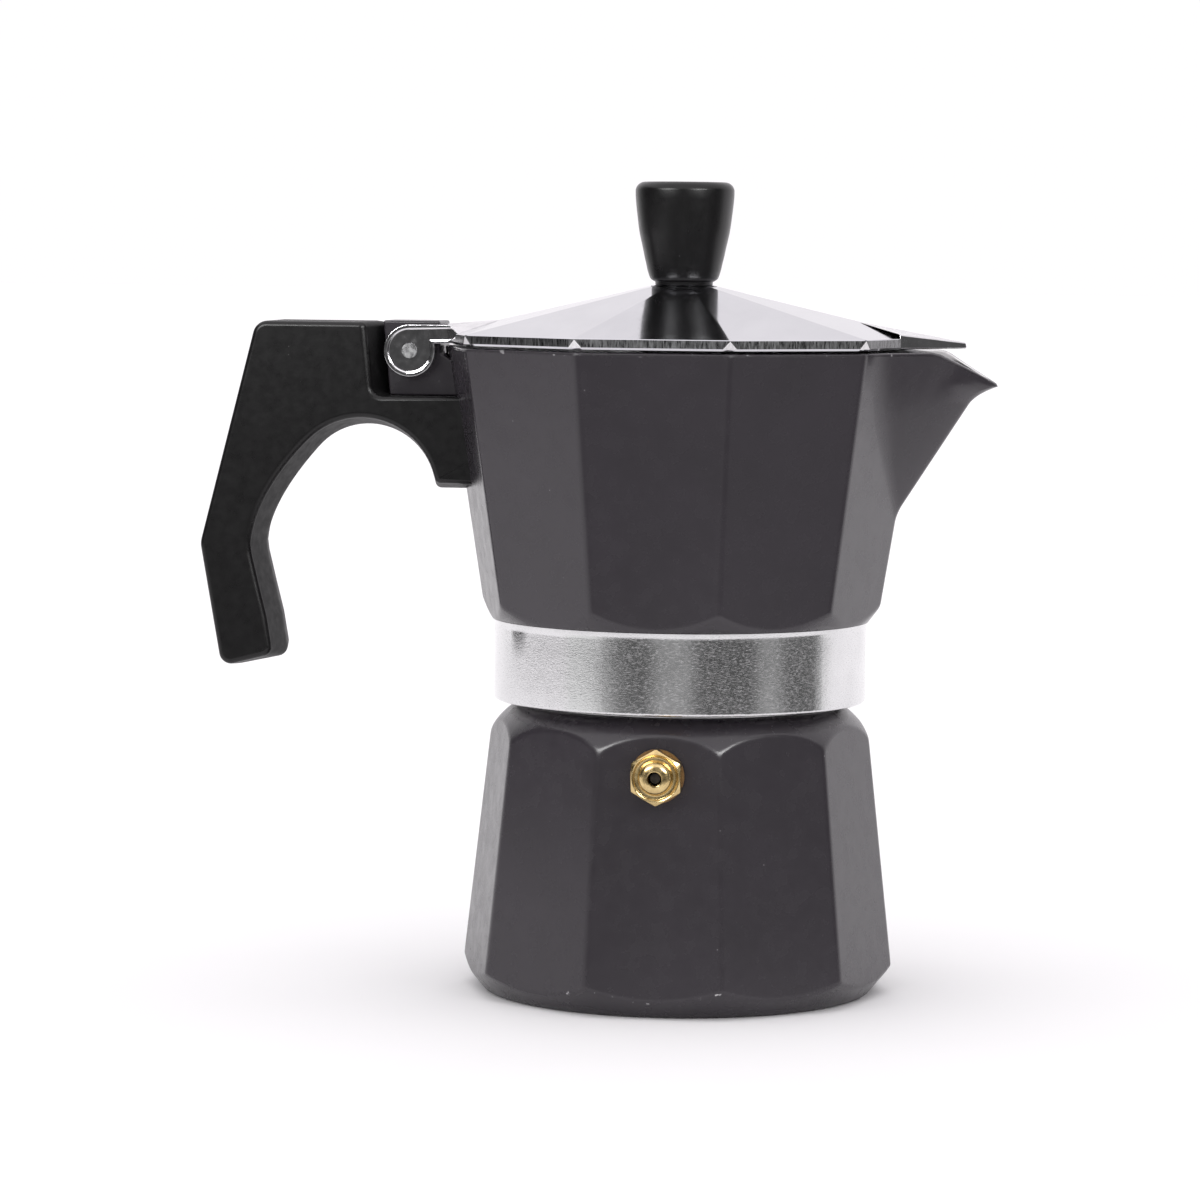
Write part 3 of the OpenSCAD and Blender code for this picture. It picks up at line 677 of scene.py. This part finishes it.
def lid_shell(polished, grained):
    """Polished pyramid with a grained rim band, hollow underneath."""
    phi = column_angles()
    shape = lid_polygon(phi)
    rim_top = LID_LOW_Z + LID_RIM_H
    cut_x = -44.6
    under_cut = -40.5
    top = LID_TOP_Z + 0.18
    slope = (LID_TOP_Z - rim_top) / (LID_R - LID_SEAT_R)
    spots = [(2.2, top, cut_x), (LID_SEAT_R - 0.4, top, cut_x), (LID_SEAT_R, LID_TOP_Z, cut_x)]
    for share in np.linspace(0, 1, 13):
        r = shape * (LID_SEAT_R + (LID_R - 0.14 - LID_SEAT_R) * share)
        spots.append((r, LID_TOP_Z - slope * (r / shape - LID_SEAT_R), cut_x))
    slope_steps = len(spots)
    for z in (rim_top - 0.12, rim_top - 0.6, rim_top - 1.1, LID_LOW_Z + 0.5):
        spots.append((rim_band(phi, z), z, cut_x))
    rim_steps = len(spots)
    spots.append((rim_band(phi, LID_LOW_Z + 0.1) - 0.22, LID_LOW_Z + 0.1, cut_x))
    spots.append((rim_band(phi, LID_LOW_Z) - 0.4, LID_LOW_Z, cut_x))
    under_r = LID_R - 1.75
    under_low = LID_LOW_Z + 0.9
    under_top = LID_TOP_Z - LID_WALL / APOTHEM
    spots.append((shape * (LID_R - 1.6), LID_LOW_Z, under_cut))
    spots.append((shape * under_r, under_low, under_cut - 0.3))
    for share in np.linspace(0.04, 1, 12):
        r = shape * (under_r + (5.0 - under_r) * share)
        spots.append((r, under_low + (under_top - under_low) * share, under_cut))
    spots.append((2.2, under_top, under_cut))
    rows = [(behind_hinge(phi, r, cut), z) for r, z, cut in spots]
    bands = [0] * slope_steps + [1] * (rim_steps - slope_steps - 1) + [0] * (len(rows) - rim_steps + 1)
    return ring_piece("lid_shell", phi, rows, [polished, grained], row_bands=bands, sharp_angle=24)


def lid_corner_facets(polished):
    """Triangles where the corners of the rim are cut, pointing up to the ridges, kept bright by the painted
    highlight of their material.
    """
    work = bmesh.new()
    high = LID_LOW_Z + LID_RIM_H - 0.15
    low = LID_LOW_Z + 0.36
    for number in range(FACETS):
        if number == FACETS // 2:
            continue
        turn = Matrix.Rotation(number * STEP, 3, "Z")
        spots = [(0.08, 0, high), (0.5, 1.5, low), (0.5, -1.5, low), (1.4, 0, low + 0.3)]
        corner = [work.verts.new(turn @ Vector((LID_R - depth, y, z)) * MM) for depth, y, z in spots]
        for face in ((0, 1, 2), (0, 3, 1), (0, 2, 3), (1, 3, 2)):
            work.faces.new([corner[i] for i in face])
    return finish_block("lid_corner_facets", work, [polished], 0.05, 2)


def lid_nose(polished):
    """Raised wedge over the spout, from a point on the lid's ridge to its own tip."""
    low = LID_LOW_Z
    spots = [(33.5, 0, 133.35), (56.3, 0, low + 0.15), (56.1, 0, low + 1.35), (46.9, 0, low + 0.7)]
    work = bmesh.new()
    apex, tip_low, tip_high, under = [work.verts.new(Vector(spot) * MM) for spot in spots]
    for side in (-1, 1):
        root_low = work.verts.new(Vector((43.95, side * 12.75, low + 0.05)) * MM)
        root_high = work.verts.new(Vector((43.85, side * 12.65, 130.95)) * MM)
        work.faces.new((tip_low, root_low, under))
        work.faces.new((tip_low, tip_high, root_high, root_low))
        work.faces.new((tip_high, apex, root_high))
        work.faces.new((root_low, root_high, under))
        work.faces.new((root_high, apex, under))
    return finish_block("lid_nose", work, [polished], 0.4, 4)


def lid_bridge(polished):
    """Raised wedge between the lid's slope and the hinge ears."""
    points = [(-36.0, 0, 132.7), (-44.0, 0, 128.3)]
    for side in (-1, 1):
        points += [(-46.05, side * 8.0, 131.85), (-37.0, side * 4.0, 132.45), (-42.0, side * 18.7, 130.1),
                   (-46.05, side * 8.0, 128.2), (-42.1, side * 18.3, 129.2)]
    work = bmesh.new()
    for point in points:
        work.verts.new(Vector(point) * MM)
    made = bmesh.ops.convex_hull(work, input=work.verts)
    loose = [v for v in made["geom_interior"] if isinstance(v, bmesh.types.BMVert)]
    bmesh.ops.delete(work, geom=loose, context="VERTS")
    bmesh.ops.dissolve_limit(work, angle_limit=math.radians(2), verts=work.verts, edges=work.edges)
    return finish_block("lid_bridge", work, [polished], 0.25, 2)


def lid_ear(side, polished):
    """Round hinge ear on a flat neck."""
    neck = math.degrees(math.asin((LID_LOW_Z - HINGE_Z) / EAR_R))
    outline = arc((HINGE_X, HINGE_Z), EAR_R, 90, 360 + neck, 56)
    outline += [(-44.2, LID_LOW_Z), (-44.2, HINGE_Z + EAR_R)]
    name = "lid_ear_near" if side < 0 else "lid_ear_far"
    return extruded(name, outline, EAR_T / 2, [polished], 0.2, side * (EAR_LOW_Y + EAR_T / 2), border=0.7)


# ---- knob

def knob_piece(bakelite):
    """Turned and moulded knob: foot, neck, flaring side and rounded top."""
    low = corners("knob")[0][2]
    top = corners("knob")[1][2]
    phi = np.linspace(0, 2 * math.pi, 128, endpoint=False)
    side = [(0.0, 10.5), (3.2, 10.5), (3.2, 0.0), (5.6, 0.0), (5.7, 0.12), (5.7, 0.5), (5.78, 0.66),
            (6.05, 0.8), (6.4, 1.0), (6.72, 1.32), (6.93, 1.8), (7.1, 2.35), (7.32, 3.1), (7.58, 4.3),
            (7.87, 5.5), (8.12, 6.7), (8.38, 7.9), (8.64, 9.05), (8.9, 10.2), (9.13, 11.7), (9.32, 13.2),
            (9.54, 15.0), (9.72, 16.8), (9.77, 17.6)]
    rows = [(r, low + z) for r, z in side]
    edge = 1.9
    rows += arc((9.8 - edge, top - edge), edge, 8, 90, 10)
    rows += [(7.0, top), (4.0, top), (0.0, top)]
    return ring_piece("knob_moulding", phi, rows, [bakelite], closed=False, sharp_angle=70)


# ---- handle

def handle_outline(inset):
    """Outline of one layer of the handle. The inner edges have draft, so they draw back by inset."""
    shelf = -58.2 - 1.8 * inset
    wall = -59.8 - 1.8 * inset
    top = HANDLE_HIGH[2]
    shoulder = (-84.75, top)
    elbow = (-95.99, 87.5)
    end_z = 62.2 + 0.4 * inset
    outline = rounded((-62, top), shoulder, elbow, 3, 8)
    outline += rounded(shoulder, elbow, (-91.6, 62.2), 5, 8)
    outline += rounded(elbow, (-91.6, end_z), (-79, end_z + 2.7), 2.4, 8)
    outline += rounded((-91.6, end_z), (-79.5 - inset, end_z + 2.6), (-84 - inset, 85.4), 2, 8)
    outline += [(-80.9 - inset, 72.9), (-82.6 - inset, 79.6), (-84 - inset, 85.4)]
    outline += curve((-84.25 - inset, 87.4), (-83.4 - inset, 95.6 + inset),
                     (-73.9 - 0.7 * inset, 106.4 + 0.8 * inset), 14)
    outline += arc((-63.2, 97.8), 13.7 + inset, 134, 15, 26)
    arm_low = 98.9 + 0.85 * inset
    outline += rounded((-49.97 + 0.97 * inset, 101.3), (-49.35 + inset, arm_low), (-42, arm_low), 1.25, 5)
    outline += [(-40, arm_low), (-40, 105.0), (-40, 111.0), (-40, SHELF_Z)]
    outline += rounded((-40, SHELF_Z), (shelf, SHELF_Z), (wall, top), 0.6 + inset, 8)
    outline += [((shelf + wall) / 2, (SHELF_Z + top) / 2)]
    outline += rounded((shelf, SHELF_Z), (wall, top), (-84, top), 1.25, 5)
    return np.array(outline)


def inward_normals(outline):
    """Unit vectors into an outline at each of its points, whichever way round it runs."""
    before = outline - np.roll(outline, 1, 0)
    after = np.roll(outline, -1, 0) - outline
    before = before / np.linalg.norm(before, axis=1)[:, None]
    after = after / np.linalg.norm(after, axis=1)[:, None]
    edges = before + after
    edges = edges / np.linalg.norm(edges, axis=1)[:, None]
    left = np.stack([-edges[:, 1], edges[:, 0]], 1)
    area = np.sum(outline[:, 0] * np.roll(outline[:, 1], -1) - np.roll(outline[:, 0], -1) * outline[:, 1])
    return left if area > 0 else -left


def handle_piece(bakelite, matt):
    """Moulded handle: its outline swept across its width, drafted to a ridge and round-edged."""
    draft = 1.75
    edge = 1.1
    flat = HANDLE_HALF - edge
    depths = [0.0, 0.5, 1.2, 2.5, 4.5, 6.3, flat]
    depths += [flat + edge * math.sin(math.radians(a)) for a in (15, 30, 45, 60, 75, 90)]
    layers = [-y for y in reversed(depths[1:])] + depths
    points = []
    for y in layers:
        inset = draft * (math.sqrt(y * y + 0.5) - math.sqrt(0.5)) / HANDLE_HALF
        outline = handle_outline(inset)
        past = max(abs(y) - flat, 0.0)
        back = edge - math.sqrt(max(edge * edge - past * past, 0.0))
        outline = outline + inward_normals(outline) * back
        seat = -(vessel_r(outline[:, 1]) - 0.8) + abs(y) * math.tan(HALF)
        outline[:, 0] = np.where(outline[:, 0] > -43, seat, outline[:, 0])
        points += [(x, y, z) for x, z in outline]
    count = len(points) // len(layers)
    faces = [tuple(range(count)), tuple(reversed(range(len(points) - count, len(points))))]
    bands = [0, 0]
    for i in range(len(layers) - 1):
        for j in range(count):
            k = (j + 1) % count
            faces.append((i * count + j, (i + 1) * count + j, (i + 1) * count + k, i * count + k))
            bands.append(1 if abs(layers[i] + layers[i + 1]) < 2 * flat else 0)
    return mesh_piece("handle_moulding", points, faces, [bakelite, matt], bands)


def handle_screw_piece(steel):
    """Screw of the handle, with the low head that the handle's moulding hides."""
    low, high = corners("handle_screw")
    seat = corners("handle_washer")[0][2]
    shank = 1.5
    head = 2.6
    phi = np.linspace(0, 2 * math.pi, 48, endpoint=False)
    rows = [(0.0, seat - 0.7), (1.2, seat - 0.7), (1.4, seat - 1.2), (head - 0.5, seat - 1.15)]
    rows += [(head - 0.1, seat - 0.9), (head, seat - 0.5), (head, seat), (shank, seat)]
    for number in range(int((high[2] - 1 - seat) / 0.25)):
        rows.append((shank - 0.14 * (number % 2), seat + 0.25 * (number + 1)))
    rows += [(shank - 0.5, high[2]), (0.0, high[2])]
    points, faces = ring_grid(phi, rows, closed=False)
    points = points + np.array([(low[0] + high[0]) / 2, (low[1] + high[1]) / 2, 0])
    return mesh_piece("handle_fixing", points, faces, [steel], sharp_angle=40)


# ---- materials

class Paper:
    """A material and its node tree, with short calls to add nodes and link them."""

    def __init__(self, name):
        self.material = bpy.data.materials.new(name)
        self.material.use_nodes = True
        self.tree = self.material.node_tree
        self.tree.nodes.clear()
        self.shader = self.add("ShaderNodeBsdfPrincipled")
        output = self.add("ShaderNodeOutputMaterial")
        self.tree.links.new(self.shader.outputs[0], output.inputs[0])
        self.coordinates = self.add("ShaderNodeTexCoord").outputs["Object"]

    def add(self, kind, values=None, **settings):
        node = self.tree.nodes.new(kind)
        for key, value in settings.items():
            setattr(node, key, value)
        for key, value in (values or {}).items():
            self.feed(node.inputs[key], value)
        return node

    def feed(self, socket, value):
        if isinstance(value, bpy.types.NodeSocket):
            self.tree.links.new(value, socket)
        else:
            socket.default_value = value

    def scaled(self, x, y, z):
        """Object coordinates stretched along each axis."""
        return self.add("ShaderNodeMapping", {"Vector": self.coordinates, "Scale": (x, y, z)}).outputs[0]

    def noise(self, size_mm, detail, vector=None, roughness=0.5):
        """Noise whose features are about size_mm across."""
        values = {"Vector": vector or self.coordinates, "Scale": 1 / (size_mm * MM), "Detail": detail,
                  "Roughness": roughness}
        return self.add("ShaderNodeTexNoise", values).outputs["Fac"]

    def spread(self, value, low, high, to_low, to_high):
        """Maps low..high to to_low..to_high."""
        values = {"Value": value, "From Min": low, "From Max": high, "To Min": to_low, "To Max": to_high}
        return self.add("ShaderNodeMapRange", values).outputs[0]

    def patches(self, size_mm, detail, low, high):
        """0 to 1 in soft patches: 0 where the noise is under low and 1 where it is over high."""
        return self.spread(self.noise(size_mm, detail), low, high, 0, 1)

    def uneven(self, size_mm, detail, low, high):
        """A value that wanders between low and high."""
        return self.spread(self.noise(size_mm, detail), 0.3, 0.7, low, high)

    def specks(self, spacing_mm, size, share, strength):
        """Up to strength on a small share of round specks, spacing_mm apart, and 0 elsewhere."""
        values = {"Vector": self.coordinates, "Scale": 1 / (spacing_mm * MM)}
        cells = self.add("ShaderNodeTexVoronoi", values)
        dots = self.spread(cells.outputs["Distance"], size, size * 0.6, 0, strength)
        lot = self.add("ShaderNodeSeparateColor", {0: cells.outputs["Color"]}).outputs[0]
        return self.multiply(dots, self.spread(lot, share, share - 0.01, 0, 1))

    def multiply(self, a, b):
        return self.add("ShaderNodeMath", {0: a, 1: b}, operation="MULTIPLY").outputs[0]

    def mix(self, share, a, b):
        """Colour a, or what socket a gives, where share is 0, and colour b where it is 1."""
        node = self.add("ShaderNodeMix", data_type="RGBA")
        self.feed(node.inputs[0], share)
        self.feed(node.inputs[6], a if isinstance(a, bpy.types.NodeSocket) else (*a, 1.0))
        self.feed(node.inputs[7], (*b, 1.0))
        return node.outputs[2]

    def bump(self, height, depth_mm, normal=None):
        values = {"Height": height, "Distance": depth_mm * MM, "Strength": 1.0}
        if normal is not None:
            values["Normal"] = normal
        return self.add("ShaderNodeBump", values).outputs[0]

    def metal(self, color, roughness, height, depth_mm):
        normal = self.bump(height, depth_mm)
        return self.finish(color=color, metallic=1.0, roughness=roughness, normal=normal)

    def finish(self, **inputs):
        names = {"color": "Base Color", "metallic": "Metallic", "roughness": "Roughness",
                 "normal": "Normal", "ior": "IOR", "specular": "Specular IOR Level"}
        for key, value in inputs.items():
            self.feed(self.shader.inputs[names[key]], value)
        return self.material


def paint_material():
    """Satin stove enamel, warm grey, with dust specks and small chips where an edge has wear."""
    m = Paper("satin_enamel")
    base = m.mix(m.patches(14, 3, 0.35, 0.65), (0.0295, 0.0258, 0.0308), (0.0325, 0.0282, 0.0342))
    base = m.mix(m.specks(2.6, 0.055, 0.10, 0.6), base, (0.30, 0.29, 0.30))
    edge = m.add("ShaderNodeAttribute", attribute_name="wear").outputs["Fac"]
    chips = m.multiply(edge, m.patches(1.6, 3, 0.66, 0.70))
    base = m.mix(chips, base, (0.62, 0.61, 0.62))
    peel = m.bump(m.noise(0.55, 2), 0.0015)
    return m.finish(color=base, roughness=m.uneven(3.5, 4, 0.22, 0.3), normal=peel,
                    metallic=m.multiply(chips, 0.8))


def tumbled_material():
    """Bare aluminium of the collar: bright, with fine pale scuffs that break up what it mirrors."""
    m = Paper("tumbled_aluminium")
    base = m.mix(m.patches(9, 3, 0.35, 0.65), (0.66, 0.66, 0.665), (0.72, 0.72, 0.725))
    base = m.mix(m.specks(3.1, 0.05, 0.12, 0.7), base, (0.12, 0.12, 0.12))
    marks = m.noise(0.7, 3, m.scaled(1.0, 1.0, 3.6), roughness=0.65)
    waves = m.bump(m.noise(1.6, 2), 0.012)
    return m.finish(color=base, metallic=m.spread(marks, 0.46, 0.68, 1.0, 0.66),
                    roughness=m.uneven(2.2, 3, 0.06, 0.12), normal=m.bump(marks, 0.024, waves))


def casting_material():
    """Bare cast and turned aluminium of the inner faces, with fine turning rings and a dull film."""
    m = Paper("cast_aluminium")
    film = m.patches(6, 4, 0.35, 0.7)
    base = m.mix(film, (0.78, 0.775, 0.775), (0.66, 0.655, 0.65))
    rings = m.noise(0.5, 2, m.scaled(0.08, 0.08, 1.0))
    return m.metal(base, m.spread(film, 0, 1, 0.3, 0.46), rings, 0.02)


def mirror_material():
    """Mirror polished aluminium of the lid, with faint wipe marks."""
    m = Paper("mirror_aluminium")
    wipes = m.spread(m.noise(7, 4, m.scaled(1.0, 0.35, 1.0)), 0.3, 0.7, 0, 1)
    base = m.mix(wipes, (0.56, 0.56, 0.59), (0.61, 0.61, 0.64))
    return m.metal(base, m.uneven(2.4, 4, 0.07, 0.13), m.noise(0.8, 2), 0.0015)


def corner_highlight_material():
    """Pale, partly diffuse metal of the rim's cut corners: a painted highlight that keeps them bright
    whatever they face.
    """
    m = Paper("corner_painted_highlight")
    corner_grain = m.noise(0.4, 3, m.scaled(1.0, 1.0, 0.3))
    # Pale base and little metal: the cut corners' highlight is painted into the colour.
    base = m.mix(m.spread(corner_grain, 0.3, 0.7, 0, 1), (0.72, 0.71, 0.72), (0.88, 0.87, 0.88))
    return m.finish(color=base, metallic=0.35, roughness=m.spread(corner_grain, 0.3, 0.7, 0.3, 0.45),
                    normal=m.bump(corner_grain, 0.01))


def wavy_material():
    """Hand-polished aluminium of the hinge and the nose: bright, but wavy, so its reflections streak."""
    m = Paper("wavy_aluminium")
    base = m.mix(m.patches(3, 3, 0.3, 0.7), (0.66, 0.65, 0.67), (0.82, 0.81, 0.83))
    waves = m.bump(m.noise(2.6, 1), 0.13)
    fine = m.bump(m.noise(0.5, 3, m.scaled(1.0, 1.0, 0.4)), 0.03, waves)
    return m.finish(color=base, metallic=1.0, roughness=m.uneven(1.5, 3, 0.06, 0.14), normal=fine)


def grained_material():
    """Rim band of the lid: metal with short upright grinding marks, its colour painted dark to stand for
    the dark room it mirrors.
    """
    m = Paper("ground_aluminium")
    marks = m.noise(0.32, 3, m.scaled(1.0, 1.0, 0.16), roughness=0.7)
    # Dark base colour: painted reflection of the dark room in front, in light and dark streaks that follow
    # the grinding marks.
    base = m.mix(m.spread(marks, 0.32, 0.62, 0, 1), (0.06, 0.06, 0.062), (0.27, 0.27, 0.275))
    return m.metal(base, m.spread(marks, 0.3, 0.7, 0.22, 0.42), marks, 0.03)


def aluminium_material():
    """Spun and pressed sheet aluminium."""
    m = Paper("pressed_aluminium")
    rings = m.noise(0.4, 3, m.scaled(0.1, 0.1, 1.0))
    base = m.mix(m.spread(rings, 0.3, 0.7, 0, 1), (0.70, 0.70, 0.71), (0.80, 0.80, 0.81))
    return m.metal(base, m.uneven(3, 3, 0.24, 0.36), rings, 0.01)


def bakelite_material(name, smooth, dull):
    """Black moulded bakelite with a few pale dust specks. Its roughness varies from smooth to dull."""
    m = Paper(name)
    base = m.mix(m.patches(5, 4, 0.3, 0.7), (0.0056, 0.0053, 0.0056), (0.0068, 0.0064, 0.0068))
    base = m.mix(m.specks(2.0, 0.07, 0.10, 0.45), base, (0.16, 0.155, 0.155))
    return m.finish(color=base, roughness=m.uneven(1.6, 4, smooth, dull), ior=1.4,
                    normal=m.bump(m.noise(0.7, 3), 0.006))


def brass_material():
    """Turned brass with fine tool marks and a light tarnish."""
    m = Paper("turned_brass")
    base = m.mix(m.patches(1.4, 3, 0.4, 0.75), (0.72, 0.55, 0.27), (0.52, 0.37, 0.17))
    return m.metal(base, m.uneven(0.8, 3, 0.16, 0.3), m.noise(0.16, 2), 0.004)


def copper_material():
    """Annealed copper washer, slightly oxidised."""
    m = Paper("annealed_copper")
    oxide = m.patches(1.0, 3, 0.4, 0.7)
    base = m.mix(oxide, (0.42, 0.27, 0.13), (0.22, 0.13, 0.07))
    return m.metal(base, m.spread(oxide, 0, 1, 0.3, 0.5), m.noise(0.3, 2), 0.006)


def steel_material():
    """Bright zinc-plated steel with a fine grain."""
    m = Paper("plated_steel")
    grain = m.noise(0.22, 3)
    base = m.mix(m.spread(grain, 0.3, 0.7, 0, 1), (0.46, 0.46, 0.47), (0.64, 0.64, 0.65))
    return m.metal(base, m.uneven(0.9, 3, 0.2, 0.38), grain, 0.008)


def poppet_shade_material():
    """Steel of the valve's poppet, painted near black as the shade inside the valve's bore."""
    m = Paper("poppet_painted_shade")
    tint = m.patches(0.7, 3, 0.35, 0.7)
    base = m.mix(tint, (0.045, 0.042, 0.04), (0.08, 0.07, 0.06))
    return m.metal(base, m.spread(tint, 0, 1, 0.35, 0.5), m.noise(0.3, 2), 0.005)


def silicone_material():
    """Off-white moulded silicone, matt, with a faint coffee tint."""
    m = Paper("white_silicone")
    base = m.mix(m.patches(5, 3, 0.4, 0.75), (0.66, 0.64, 0.60), (0.55, 0.50, 0.43))
    return m.finish(color=base, roughness=m.uneven(1.2, 3, 0.55, 0.7), normal=m.bump(m.noise(0.4, 3), 0.01))


def floor_material():
    m = Paper("pale_floor")
    base = m.mix(m.patches(120, 2, 0.3, 0.7), (0.93, 0.93, 0.93), (0.95, 0.95, 0.95))
    return m.finish(color=base, roughness=0.85, specular=0.2)


# ---- assembly

def build_pieces():
    paint = paint_material()
    casting = casting_material()
    wavy = wavy_material()
    bakelite = bakelite_material("black_bakelite", 0.27, 0.33)
    matt = bakelite_material("matt_bakelite", 0.5, 0.62)
    brass = brass_material()
    steel = steel_material()
    place(boiler_shell(paint), "boiler", "boiler")
    place(boiler_casting(casting), "boiler", "boiler")
    place(valve_body_piece(brass), "boiler", "valve_body")
    place(collector_shell(paint), "collector", "collector")
    place(collector_casting(casting, tumbled_material(), paint), "collector", "collector")
    place(collector_lug(paint), "collector", "collector")
    for piece in (lid_shell(mirror_material(), grained_material()), lid_corner_facets(corner_highlight_material()),
                  lid_nose(wavy), lid_bridge(wavy), lid_ear(-1, wavy), lid_ear(1, wavy)):
        place(piece, "lid", "lid")
    place(knob_piece(bakelite), "lid", "knob")
    place(handle_piece(bakelite, matt), "collector", "handle")
    place(handle_screw_piece(steel), "collector", "handle_screw")
    finish_cad_nodes(brass, steel)


def finish_cad_nodes(brass, steel):
    """Gives the CAD nodes that stay their detailed materials."""
    finishes = {"brass": brass, "copper": copper_material(), "steel": steel,
                "aluminium": aluminium_material(), "silicone": silicone_material()}
    for part in frame["record"]["subparts"]:
        node = frame["nodes"][part["node"]]
        material = finishes.get(part["material_slot"])
        if material is None:
            continue
        node.data.materials.clear()
        node.data.materials.append(material)
    # The poppet sits deep in the valve's bore: its near-black colour is painted shade.
    frame["nodes"]["valve_poppet"].data.materials[0] = poppet_shade_material()


def build_floor():
    """Flat pale floor, wide enough to reach the horizon."""
    half = 12.0
    cells = 12
    spots = [-half + 2 * half * i / cells for i in range(cells + 1)]
    points = [(x, y, 0.0) for y in spots for x in spots]
    mesh = bpy.data.meshes.new("studio_floor")
    mesh.from_pydata(points, [], grid_faces(len(spots), len(spots)))
    floor = new_object("studio_floor", mesh, [floor_material()])
    floor.location.z = CAD_BOUNDS[0][2] - 0.0002


def build_world():
    """Even white surroundings."""
    world = bpy.data.worlds.new("studio")
    world.use_nodes = True
    background = world.node_tree.nodes["Background"]
    background.inputs[0].default_value = (1.03, 1.0, 1.03, 1.0)
    bpy.context.scene.world = world


def fill_ramp(ramp, levels):
    """Sets the stops of a colour ramp from (degrees round from the camera's direction, level)."""
    for number, (degrees, level) in enumerate(levels):
        position = (degrees + 180) / 360
        stop = ramp.elements[0] if number == 0 else ramp.elements.new(position)
        if number == 0:
            ramp.elements.remove(ramp.elements[-1])
        stop.position = position
        stop.color = (level, level, level, 1.0)


def card_material(name, levels):
    """Glow of a studio card: its level changes with the angle round from the camera's direction."""
    m = Paper(name)
    parts = m.add("ShaderNodeSeparateXYZ", {0: m.coordinates}).outputs
    turn = m.add("ShaderNodeMath", {0: parts[0], 1: parts[1]}, operation="ARCTAN2").outputs[0]
    around = m.spread(turn, -math.pi, math.pi, 0, 1)
    ramp = m.add("ShaderNodeValToRGB", {0: around})
    fill_ramp(ramp.color_ramp, levels)
    glow = m.add("ShaderNodeEmission", {"Color": ramp.outputs[0]})
    output = next(node for node in m.tree.nodes if node.type == "OUTPUT_MATERIAL")
    m.tree.links.new(glow.outputs[0], output.inputs[0])
    return m.material


def hide_from(thing, *rays):
    for ray in rays:
        setattr(thing, "visible_" + ray, False)


def studio_card(name, rows, levels):
    """Dark card round the front of the set, through rows of (radius, height). Only reflections show it."""
    start = levels[0][0]
    end = levels[-1][0]
    angles = [math.radians(start + (end - start) * i / 60) for i in range(61)]
    points = [(r * math.sin(a), r * math.cos(a), z) for r, z in rows for a in angles]
    mesh = bpy.data.meshes.new(name)
    mesh.from_pydata(points, [], grid_faces(len(angles), len(rows)))
    card = new_object(name, mesh, [card_material(name + "_glow", levels)])
    card.matrix_world = Matrix.Rotation(CAMERA_AZIMUTH, 4, "Z") @ Matrix.Scale(-1, 4, Vector((0, 1, 0)))
    hide_from(card, "camera", "diffuse", "shadow", "transmission")


def add_light(name, kind, energy):
    light = bpy.data.lights.new(name, kind)
    light.energy = energy
    lamp = bpy.data.objects.new(name, light)
    bpy.context.scene.collection.objects.link(lamp)
    return lamp


def softbox(degrees):
    """Small softbox up in front, at an angle round from the camera's direction. Only gloss shows it."""
    lamp = add_light("softbox_left" if degrees < 0 else "softbox_right", "AREA", SOFTBOX_POWER)
    lamp.data.shape = "RECTANGLE"
    lamp.data.size, lamp.data.size_y = SOFTBOX_SIZE
    a = math.radians(degrees) + CAMERA_AZIMUTH
    lamp.location = (SOFTBOX_R * math.sin(a), -SOFTBOX_R * math.cos(a), SOFTBOX_Z)
    direction = Vector((0, 0, 0.05)) - lamp.location
    lamp.rotation_euler = direction.to_track_quat("-Z", "Y").to_euler()
    hide_from(lamp, "camera", "diffuse")


def build_lights():
    """Soft overhead light, and the dark cards that give the metal something to mirror."""
    overhead = add_light("overhead_softlight", "SUN", OVERHEAD_POWER)
    overhead.data.angle = math.radians(100)
    overhead.rotation_euler = (math.radians(12), math.radians(-10), 0)
    for degrees in SOFTBOX_ANGLES:
        softbox(degrees)
    low_rows = [(r, CARD_LOW_Z) for r in (0.18, 0.30, CARD_R)] + [(CARD_R, CARD_SPLIT_Z)]
    high_rows = [(CARD_R, z) for z in (CARD_SPLIT_Z, 0.2, CARD_HIGH_Z)]
    studio_card("low_card", low_rows, LOW_CARD)
    studio_card("high_card", high_rows, HIGH_CARD)


def build_camera():
    a = CAMERA_AZIMUTH
    e = CAMERA_ELEVATION
    back = Vector((math.sin(a) * math.cos(e), -math.cos(a) * math.cos(e), math.sin(e)))
    right = Vector((math.cos(a), math.sin(a), 0))
    up = back.cross(right)
    side = right * math.cos(CAMERA_ROLL) + up * math.sin(CAMERA_ROLL)
    top = up * math.cos(CAMERA_ROLL) - right * math.sin(CAMERA_ROLL)
    data = bpy.data.cameras.new("camera")
    data.lens = CAMERA_LENS
    data.sensor_width = CAMERA_SENSOR
    data.clip_start = 0.01
    camera = bpy.data.objects.new("camera", data)
    bpy.context.scene.collection.objects.link(camera)
    place_at = (right * CAMERA_SIDE + Vector((0, 0, CAMERA_HEIGHT)) + back * CAMERA_DISTANCE) * MM
    matrix = Matrix((side, top, back)).transposed().to_4x4()
    matrix.translation = place_at
    camera.matrix_world = matrix
    bpy.context.scene.camera = camera


build_camera()
build_world()
build_lights()
build_floor()
build_pieces()
bpy.context.scene.view_settings.view_transform = "Standard"
